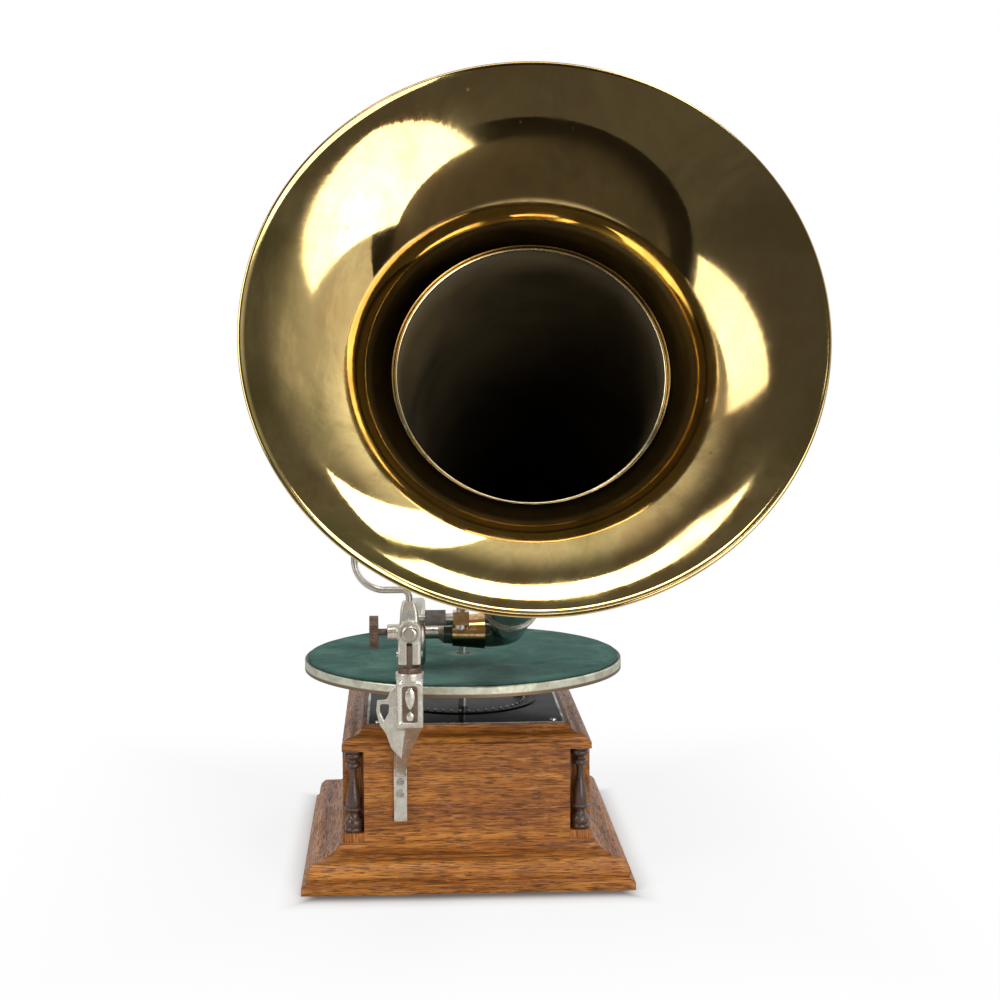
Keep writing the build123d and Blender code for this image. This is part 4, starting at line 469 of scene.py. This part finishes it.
nodesOfLook = {
    "oakDeep": ["bottom_board", "right_panel", "left_panel"],
    "oakFrame": ["base_moulding", "cornice"],
    "oakAcross": ["front_panel", "back_panel"],
    "oakUpright": ["corner_posts"],
    "darkOak": ["corner_columns"],
    "japan": ["motor_plate"],
    "nickel": ["plate_trim", "plate_screws", "crank_escutcheon", "crank_arm", "brake_lever",
        "speed_knob", "arm_rod", "horn_band", "crane_wire", "sound_box_body", "sound_box_bezel",
        "needle_lever"],
    "motorBrass": ["motor_frame_plate", "governor_cocks", "worm_wheel", "great_wheel",
        "middle_wheel", "governor_disc", "governor_weights"],
    "steel": ["motor_pillars", "bracket_screws", "spindle", "barrel_drum", "barrel_cover",
        "mainspring", "middle_arbor", "governor_shaft", "winding_arbor", "ratchet_wheel",
        "ratchet_pawl", "crank_shaft", "pivot_screw", "wing_screw", "needle"],
    "cast": ["front_bracket", "fork_upright"],
    "rim": ["turntable_disc"],
    "felt": ["felt_mat"],
    "castIron": ["bevel_wheel"],
    "grip": ["crank_grip"],
    "leather": ["brake_pad"],
    "bronze": ["swivel_post", "thumb_screw"],
    "rubber": ["rubber_sleeve"],
    "copper": ["clamp_band"],
    "enamel": ["elbow", "horn_cone"],
    "brassBell": ["horn_bell"],
    "mica": ["diaphragm"],
}


def dress(piece, look):
    piece.data.materials.clear()
    piece.data.materials.append(looks[look])


for look, names in nodesOfLook.items():
    for name in names:
        dress(nodes[name], look)


def linked(name, data):
    holder = bpy.data.objects.new(name, data)
    bpy.context.scene.collection.objects.link(holder)
    return holder


def newPiece(name, mesh, body, look, smooth=True):
    piece = linked(name, mesh)
    if smooth:
        mesh.shade_smooth()
    dress(piece, look)
    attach(piece, body)
    return piece


def meshFrom(name, build):
    mesh = bpy.data.meshes.new(name)
    work = bmesh.new()
    build(work)
    bmesh.ops.remove_doubles(work, verts=work.verts, dist=1e-7)
    bmesh.ops.recalc_face_normals(work, faces=work.faces)
    work.to_mesh(mesh)
    work.free()
    return mesh


print("stage: horn")
hornSize = {
    "centre": Vector((13.0, -650.0, 434.0)) * mm,
    "azimuth": radians(-2.0),
    "elevation": radians(22.4),
    "lipRadius": 133.4 * mm,
    "beadRadius": 1.1 * mm,
    "depth": 62.2 * mm,
    "throatRadius": 66.1 * mm,
    "wall": 0.9 * mm,
    "collarLength": 9.0 * mm,
    "taper": 0.0957,
    "innerSlopes": ((0.1, 1), (1, 0.16)),
    "beadSteps": 20,
    "turns": 256,
    "curveSteps": 64,
}
hornAxis = Vector((
    sin(hornSize["azimuth"]) * cos(hornSize["elevation"]),
    -cos(hornSize["azimuth"]) * cos(hornSize["elevation"]),
    sin(hornSize["elevation"]),
))
hornSide = Vector((0, 0, 1)).cross(hornAxis).normalized()
hornUp = hornAxis.cross(hornSide)


def hornPoint(radius, along, angle):
    outward = hornSide * cos(angle) + hornUp * sin(angle)
    return hornSize["centre"] + hornAxis * along + outward * radius


def turnProfile(work, profile):
    # Closed section of (radius, along) points turned round the horn's axis
    turns = hornSize["turns"]
    rings = []
    for step in range(turns):
        angle = 2 * pi * step / turns
        rings.append([work.verts.new(hornPoint(radius, along, angle)) for radius, along in profile])
    count = len(profile)
    for step in range(turns):
        here, there = rings[step], rings[(step + 1) % turns]
        for k in range(count):
            work.faces.new((here[k], here[(k + 1) % count], there[(k + 1) % count], there[k]))


def flare(start, startSlope, end, endSlope, steps):
    # Smooth curve between two points of the bell's section, with the given slopes at its ends
    start, end = Vector(start), Vector(end)
    reach = (end - start).length
    leave = Vector(startSlope).normalized() * reach
    arrive = Vector(endSlope).normalized() * reach
    points = []
    for step in range(steps + 1):
        t = step / steps
        point = start * (2 * t ** 3 - 3 * t ** 2 + 1) + leave * (t ** 3 - 2 * t ** 2 + t)
        point += end * (3 * t ** 2 - 2 * t ** 3) + arrive * (t ** 3 - t ** 2)
        points.append((point.x, point.y))
    return points


def bellSection():
    size = hornSize
    lip, wall, depth, throat = size["lipRadius"], size["wall"], size["depth"], size["throatRadius"]
    leave, arrive = size["innerSlopes"]
    inner = flare((throat, -depth), leave, (lip, 0), arrive, size["curveSteps"])
    back, home = [(-across, -along) for across, along in (arrive, leave)]
    outer = flare((lip, -wall), back, (throat + wall, -depth), home, size["curveSteps"])
    bead = []
    for step in range(1, size["beadSteps"]):
        angle = radians(130 - 260 * step / size["beadSteps"])
        bead.append((lip + size["beadRadius"] * cos(angle), -wall / 2 + size["beadRadius"] * sin(angle)))
    collarEnd = throat - size["collarLength"] * size["taper"]
    collar = [(collarEnd + wall, -depth - size["collarLength"]), (collarEnd, -depth - size["collarLength"])]
    return inner[:-1] + bead + outer[1:] + collar


bell = newPiece("hornBell", meshFrom("hornBell", lambda work: turnProfile(work, bellSection())),
                "carrier", "brassBell")
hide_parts("horn_bell")

seamSize = {"radius": 65.3 * mm, "along": -61.4 * mm, "thickness": 0.75 * mm, "sides": 16}


def circle(radius, sides):
    # Points (across, up) round a circle
    return [(radius * cos(2 * pi * k / sides), radius * sin(2 * pi * k / sides)) for k in range(sides)]


def seamSection():
    size = seamSize
    return [(size["radius"] + a, size["along"] + b) for a, b in circle(size["thickness"], size["sides"])]


newPiece("hornSeam", meshFrom("hornSeam", lambda work: turnProfile(work, seamSection())),
         "carrier", "seam")

coneSize = {
    "mouth": 66.0 * mm,
    "throat": 12.6 * mm,
    "wall": 0.8 * mm,
    "elbowHeight": 191.0 * mm,
    "bendRadius": 16.0 * mm,
    "steps": 24,
}


def elbowDepth():
    # Distance down the axis to where the cone meets the elbow's bend
    bend = pi / 2 - asin(hornAxis.x)
    toCorner = (hornSize["centre"].z - coneSize["elbowHeight"]) / hornAxis.z
    return toCorner - coneSize["bendRadius"] * tan(bend / 2)


def closedCone(work):
    size, depth = coneSize, elbowDepth()
    outer, inner = [], []
    for k in range(size["steps"] + 1):
        share = k / size["steps"]
        radius = size["mouth"] + (size["throat"] - size["mouth"]) * share
        along = -hornSize["depth"] + (hornSize["depth"] - depth) * share
        outer.append((radius, along))
        inner.append((radius - size["wall"], along))
    turnProfile(work, outer + inner[::-1])


cone = newPiece("hornCone", meshFrom("hornCone", closedCone), "carrier", "enamel")
cone.data.materials.append(looks["hornInside"])
for face in cone.data.polygons:
    offAxis = face.center - hornSize["centre"]
    outward = offAxis - hornAxis * offAxis.dot(hornAxis)
    if face.normal.dot(outward) < 0:
        face.material_index = 1
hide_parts("horn_cone")


print("stage: castings")
castSize = {"voxel": 0.5 * mm, "smoothing": 4, "softness": 0.5, "kept": 0.35}
bracketSize = {
    "x": -43.6 * mm,
    "face": -159.0 * mm,
    "socketBottom": 137.8 * mm,
    "footX": -51.2 * mm,
    "footTop": 90.0 * mm,
    "footFace": -90.1 * mm,
    "urnSquash": 0.42,
    "urnSides": 24,
    "edgeRadius": 1.0 * mm,
    "edgeProud": 0.9 * mm,
    "edgeHalfWidth": 8.3 * mm,
    "edgeBottom": 139.5 * mm,
    "edgeTop": 170.0 * mm,
    "crossEdges": (140.2 * mm, 169.4 * mm),
    "ribSteps": 28,
    "ribInset": 3.0 * mm,
    "ribWide": (8.8 * mm, 4.2 * mm),
    "ribThick": (3.4 * mm, 1.8 * mm),
}
# Radius and height in mm of the small urn on the socket
urnProfile = [(0.2, 142.5), (2.4, 143.2), (2.9, 146.5), (1.5, 149.0), (1.3, 151.0), (2.6, 154.5),
              (3.6, 159.5), (3.3, 163.5), (1.9, 165.6), (2.3, 166.6), (0.2, 167.2)]


def stack(work, rings):
    # Closed skin over rings of points that all have the same count
    loops = [[work.verts.new(point) for point in ring] for ring in rings]
    count = len(loops[0])
    for first, second in zip(loops, loops[1:]):
        for k in range(count):
            work.faces.new((first[k], first[(k + 1) % count], second[(k + 1) % count], second[k]))
    work.faces.new(loops[0][::-1])
    work.faces.new(loops[-1])


def urn(work):
    size = bracketSize
    start = Vector((size["x"], size["face"] + 0.3 * mm, 0))
    rings = []
    for radius, height in urnProfile:
        outline = circle(radius * mm, size["urnSides"])
        rings.append([start + Vector((a, b * size["urnSquash"], height * mm)) for a, b in outline])
    stack(work, rings)


def socketEdges(work):
    # Raised rims up both sides and along the socket's top and bottom, for the casting to melt together
    size = bracketSize
    rim = [(size["edgeRadius"] * cos(pi * k / 6), size["edgeProud"] * sin(pi * k / 6)) for k in range(12)]
    wide, face = size["edgeHalfWidth"], size["face"]
    for side in (-wide, wide):
        stack(work, [[Vector((size["x"] + side + a, face + b, height)) for a, b in rim]
                     for height in (size["edgeBottom"], size["edgeTop"])])
    for height in size["crossEdges"]:
        stack(work, [[Vector((size["x"] + side, face + b, height + a)) for a, b in rim]
                     for side in (-wide, wide)])


def neckRib(work):
    # Rib down the front of the neck, from the socket to the foot
    size = bracketSize
    rings = []
    for step in range(size["ribSteps"] + 1):
        t = step / size["ribSteps"]
        ease = t * t * (3 - 2 * t)
        x = size["x"] + (size["footX"] - size["x"]) * ease
        y = size["face"] + size["ribInset"]
        y += (size["footFace"] - size["face"] - 3.5 * mm) * (1 - (1 - t) ** 1.5)
        z = size["socketBottom"] + size["ribInset"]
        z += (size["footTop"] - 8.0 * mm - size["socketBottom"]) * t
        wide, thick = [a + (b - a) * ease for a, b in (size["ribWide"], size["ribThick"])]
        rings.append([Vector((x + wide * a, y + thick * b, z + thick * 0.4 * b)) for a, b in circle(1, 8)])
    stack(work, rings)


def bracketExtras(work):
    urn(work)
    socketEdges(work)
    neckRib(work)


def softened(name, node, body, look, extras=None):
    # The casting's own shape with its edges rounded as a polished casting's are
    source = nodes[node].data.copy()
    work = bmesh.new()
    work.from_mesh(source)
    if extras:
        extras(work)
    bmesh.ops.remove_doubles(work, verts=work.verts, dist=1e-6)
    work.to_mesh(source)
    work.free()
    rough = linked(name + "Rough", source)
    grid = rough.modifiers.new("grid", "REMESH")
    grid.mode = "VOXEL"
    grid.voxel_size = castSize["voxel"]
    soft = rough.modifiers.new("soft", "SMOOTH")
    soft.factor = castSize["softness"]
    soft.iterations = castSize["smoothing"]
    thin = rough.modifiers.new("thin", "DECIMATE")
    thin.ratio = castSize["kept"]
    ready = rough.evaluated_get(bpy.context.evaluated_depsgraph_get())
    mesh = bpy.data.meshes.new_from_object(ready)
    mesh.name = name
    bpy.data.objects.remove(rough)
    piece = newPiece(name, mesh, body, look)
    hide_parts(node)


softened("castBracket", "front_bracket", "root", "cast", bracketExtras)
softened("castFork", "fork_upright", "carrier", "cast")

recessSize = {
    "wide": 5.6 * mm,
    "bottom": 141.4 * mm,
    "top": 168.2 * mm,
    "proud": 0.25 * mm,
    "sunk": 0.5 * mm,
    "corner": 2.2 * mm,
}


def recessShape(work):
    # Dark ground behind the urn on the socket's face
    size = recessSize
    outline = []
    for turn, across, height in ((0, 1, 1), (90, -1, 1), (180, -1, 0), (270, 1, 0)):
        centreX = bracketSize["x"] + across * (size["wide"] - size["corner"])
        centreZ = size["top"] - size["corner"] if height else size["bottom"] + size["corner"]
        for k in range(7):
            angle = radians(turn + 15 * k)
            outline.append((centreX + size["corner"] * cos(angle), centreZ + size["corner"] * sin(angle)))
    face = bracketSize["face"]
    depths = (face - size["proud"], face + size["sunk"])
    stack(work, [[Vector((x, y, z)) for x, z in outline] for y in depths])


newPiece("socketRecess", meshFrom("socketRecess", recessShape), "root", "bronze", smooth=False)

print("stage: felt")
feltSize = {
    "radius": 125.0 * mm,
    "hole": 5.0 * mm,
    "bottom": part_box("felt_mat")[0].z,
    "thickness": 1.5 * mm,
    "rings": 90,
    "turns": 360,
    "edgeWave": 0.25 * mm,
    "edgeRound": 0.5 * mm,
    "edgeHeight": 0.9 * mm,
    "surfaceWave": 0.12 * mm,
}


def feltSkin(work):
    # Disc with a slightly ragged edge and a faintly uneven top
    size = feltSize
    turns = size["turns"]

    def height(radius, angle):
        rise = sin(radius * 95 + 2 * sin(angle * 3)) * cos(angle * 5 + radius * 40)
        return size["bottom"] + size["thickness"] - size["surfaceWave"] * (1 + rise) / 2

    def ring(radius, level):
        points = []
        for k in range(turns):
            angle = 2 * pi * k / turns
            wave = size["edgeWave"] * (sin(angle * 17) + sin(angle * 31 + 1)) / 2
            reach = radius + (wave - size["edgeWave"]) * (radius / size["radius"]) ** 20
            top = level if level is not None else height(radius, angle)
            points.append(work.verts.new((reach * cos(angle), reach * sin(angle), top)))
        return points

    steps = size["rings"]
    topWidth = size["radius"] - size["edgeRound"] - size["hole"]
    radii = [size["hole"] + topWidth * k / steps for k in range(steps + 1)]
    rings = [ring(radii[0], size["bottom"])]
    rings += [ring(radius, None) for radius in radii]
    rings.append(ring(size["radius"], size["bottom"] + size["edgeHeight"]))
    rings.append(ring(size["radius"], size["bottom"]))
    for first, second in zip(rings, rings[1:] + rings[:1]):
        for k in range(turns):
            work.faces.new((first[k], second[k], second[(k + 1) % turns], first[(k + 1) % turns]))


felt = newPiece("feltDisc", meshFrom("feltDisc", feltSkin), "turntable", "felt")
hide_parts("felt_mat")


print("stage: repeated pieces")


def nodeTree(name, inputs):
    tree = bpy.data.node_groups.new(name, "GeometryNodeTree")
    tree.interface.new_socket("Geometry", in_out="INPUT", socket_type="NodeSocketGeometry")
    for label, value in inputs.items():
        kind = "NodeSocketInt" if isinstance(value, int) else "NodeSocketFloat"
        tree.interface.new_socket(label, in_out="INPUT", socket_type=kind).default_value = value
    tree.interface.new_socket("Geometry", in_out="OUTPUT", socket_type="NodeSocketGeometry")
    return tree


def grow(name, tree, values, body, look):
    # Runs the tree on an empty mesh and keeps the result as a plain piece
    holder = linked(name + "Holder", bpy.data.meshes.new(name + "Holder"))
    modifier = holder.modifiers.new("grow", "NODES")
    modifier.node_group = tree
    for item in tree.interface.items_tree:
        if item.item_type == "SOCKET" and item.in_out == "INPUT" and item.name in values:
            modifier[item.identifier] = values[item.name]
    ready = holder.evaluated_get(bpy.context.evaluated_depsgraph_get())
    mesh = bpy.data.meshes.new_from_object(ready)
    mesh.name = name
    bpy.data.objects.remove(holder)
    newPiece(name, mesh, body, look)


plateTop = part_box("plate_trim")[0].z
beadSize = {
    "Count": 46,
    "Ring radius": 50.5 * mm,
    "Bead radius": 1.05 * mm,
    "Centre back": 29.0 * mm,
    "Height": plateTop + 0.35 * mm,
}


def beadTree():
    # Ring of round beads pressed into the motor plate
    tree = nodeTree("beadRing", beadSize)
    graph = Graph(tree)
    given = graph.add("NodeGroupInput").socket.node

    def value(label):
        return Wire(graph, given.outputs[label])

    ringInputs = {"Vertices": value("Count"), "Radius": value("Ring radius")}
    ring = graph.add("GeometryNodeMeshCircle", None, ringInputs)
    beadInputs = {"Segments": 12, "Rings": 8, "Radius": value("Bead radius")}
    bead = graph.add("GeometryNodeMeshUVSphere", None, beadInputs)
    spread = graph.add("GeometryNodeInstanceOnPoints", None, {"Points": ring, "Instance": bead})
    place = graph.add("ShaderNodeCombineXYZ", None, {"Y": value("Centre back"), "Z": value("Height")})
    moved = graph.add("GeometryNodeTranslateInstances", None, {"Instances": spread, "Translation": place})
    real = graph.add("GeometryNodeRealizeInstances", None, {0: moved})
    painted = graph.add("GeometryNodeSetMaterial", None, {"Geometry": real, "Material": looks["nickel"]})
    graph.add("NodeGroupOutput", None, {0: painted})
    return tree


grow("plateBeads", beadTree(), beadSize, "root", "nickel")

print("stage: light and camera")
cameraPlace = {
    "spot": (-0.0474, -1.5111, 0.4476),
    "right": (0.99866, -0.05167, -0.00339),
    "up": (0.00886, 0.10589, 0.99434),
    "ahead": (0.05102, 0.99304, -0.10620),
    "lens": 68.42,
    "sensor": 36.0,
}
lens = bpy.data.cameras.new("camera")
lens.lens = cameraPlace["lens"]
lens.sensor_width = cameraPlace["sensor"]
camera = linked("camera", lens)
right, up, ahead = [Vector(cameraPlace[key]) for key in ("right", "up", "ahead")]
turn = Matrix((right, up, -ahead)).transposed().to_4x4()
camera.matrix_world = Matrix.Translation(cameraPlace["spot"]) @ turn
bpy.context.scene.camera = camera

# Soft panels, placed where the bell mirrors them in the photo
panels = {
    "rightPanel": {"spot": (1.04, -2.10, 0.58), "size": (1.35, 1.45), "power": 32.0},
    "leftPanel": {"spot": (-1.40, -0.98, 1.08), "size": (0.72, 1.35), "power": 17.0},
    "frontTop": {"spot": (-0.08, -1.23, 1.95), "size": (0.80, 0.34), "power": 6.2},
    "backTop": {"spot": (0.54, -0.58, 1.95), "size": (1.20, 0.32), "power": 7.6},
}
for name, panel in panels.items():
    lamp = bpy.data.lights.new(name, "AREA")
    lamp.shape = "RECTANGLE"
    lamp.size, lamp.size_y = panel["size"]
    lamp.energy = panel["power"]
    holder = linked(name, lamp)
    holder.location = panel["spot"]
    aim = hornSize["centre"] - Vector(panel["spot"])
    holder.rotation_euler = aim.to_track_quat("-Z", "Y").to_euler()
    holder.visible_camera = False

world = bpy.data.worlds.new("room")
world.use_nodes = True
world.node_tree.nodes.clear()
bpy.context.scene.world = world
room = Graph(world.node_tree)
roomLight = {
    "ambient": 0.24,
    "front": 0.15,  # mirrored room behind the camera
    "back": 0.85,
    "side": 0.85,
    "tableFront": -0.92,
}
direction = room.add("ShaderNodeTexCoord", output="Generated")
split = room.add("ShaderNodeSeparateXYZ", None, {0: direction}).socket.node
across, facing = Wire(room, split.outputs[0]), Wire(room, split.outputs[1])
shine = room.level(facing, -0.12, 0.25, roomLight["front"], roomLight["back"])
shine = shine + room.level(across, 0.35, 0.9, 0.0, roomLight["side"])
path = room.add("ShaderNodeLightPath").socket.node
rays = ("Is Camera Ray", "Is Glossy Ray", "Is Transmission Ray")
seen, glossy, through = [Wire(room, path.outputs[ray]) for ray in rays]
mirror = room.larger(glossy, through)
strength = seen + (1 - seen) * (mirror * shine + (1 - mirror) * roomLight["ambient"])
backdrop = room.add("ShaderNodeBackground", None, {"Color": (1, 1, 1, 1), "Strength": strength})
room.add("ShaderNodeOutputWorld", None, {"Surface": backdrop})


floorLook = {
    "pale": (0.90, 0.90, 0.90),
    # Painted shadow colour close to the case
    "paintedShadow": (0.16, 0.15, 0.14),
    # Painted dark reflection beyond the table's front edge
    "front": (0.11, 0.10, 0.09, 1),
    "tableBlur": 30 * mm,
    "cornerInset": 16 * mm,
    "reach": 9.0,
}


def floorFinish(look=floorLook):
    # Pale table, white to the camera away from the case, with a painted shadow where the case stands and a
    # painted dark reflection beyond the table's front edge
    pale = Finish("paleFloor")
    path = pale.add("ShaderNodeLightPath").socket.node
    seen, glossy = Wire(pale, path.outputs["Is Camera Ray"]), Wire(pale, path.outputs["Is Glossy Ray"])
    x, y, z = pale.axes()
    tableEdge, blur = roomLight["tableFront"], look["tableBlur"]
    table = pale.level(y, tableEdge - blur, tableEdge + blur)
    apartX = abs(x) - (caseSize["halfWidth"] - look["cornerInset"])
    apartY = abs(y - caseSize["setback"]) - caseSize["halfDepth"]
    apart = pale.larger(apartX, apartY)
    # Painted shadow: the floor colour darkens close to the case
    paintedShadow = pale.blend(pale.level(apart, 2 * mm, 22 * mm), look["paintedShadow"], look["pale"])
    matt = pale.add("ShaderNodeBsdfDiffuse", None, {"Color": paintedShadow})
    # Painted reflection: to glossy rays the floor beyond the table's front edge is a dark sheet
    dark = pale.add("ShaderNodeBsdfDiffuse", None, {"Color": look["front"]})
    glow = pale.add("ShaderNodeEmission", None, {"Color": (1, 1, 1, 1), "Strength": 1.0})
    # Painted shadow: the floor glows less to the camera close to the case
    bright = pale.level(apart, 6 * mm, 36 * mm, 0.03, 0.82)
    bright = bright + pale.level(apart, 20 * mm, 300 * mm, 0.0, 0.18)
    shown = pale.add("ShaderNodeMixShader", None, {0: seen * bright, 1: matt, 2: glow})
    ahead = pale.add("ShaderNodeMixShader", None, {0: glossy * (1 - table), 1: shown, 2: dark})
    pale.add("ShaderNodeOutputMaterial", None, {"Surface": ahead})
    return pale.material


def floorSheet(work):
    reach = floorLook["reach"]
    corners = ((-reach, -reach), (reach, -reach), (reach, reach), (-reach, reach))
    work.faces.new([work.verts.new((x, y, 0)) for x, y in corners])


floor = linked("floor", meshFrom("floor", floorSheet))
floor.data.materials.append(floorFinish())

bpy.context.scene.view_settings.view_transform = "Standard"
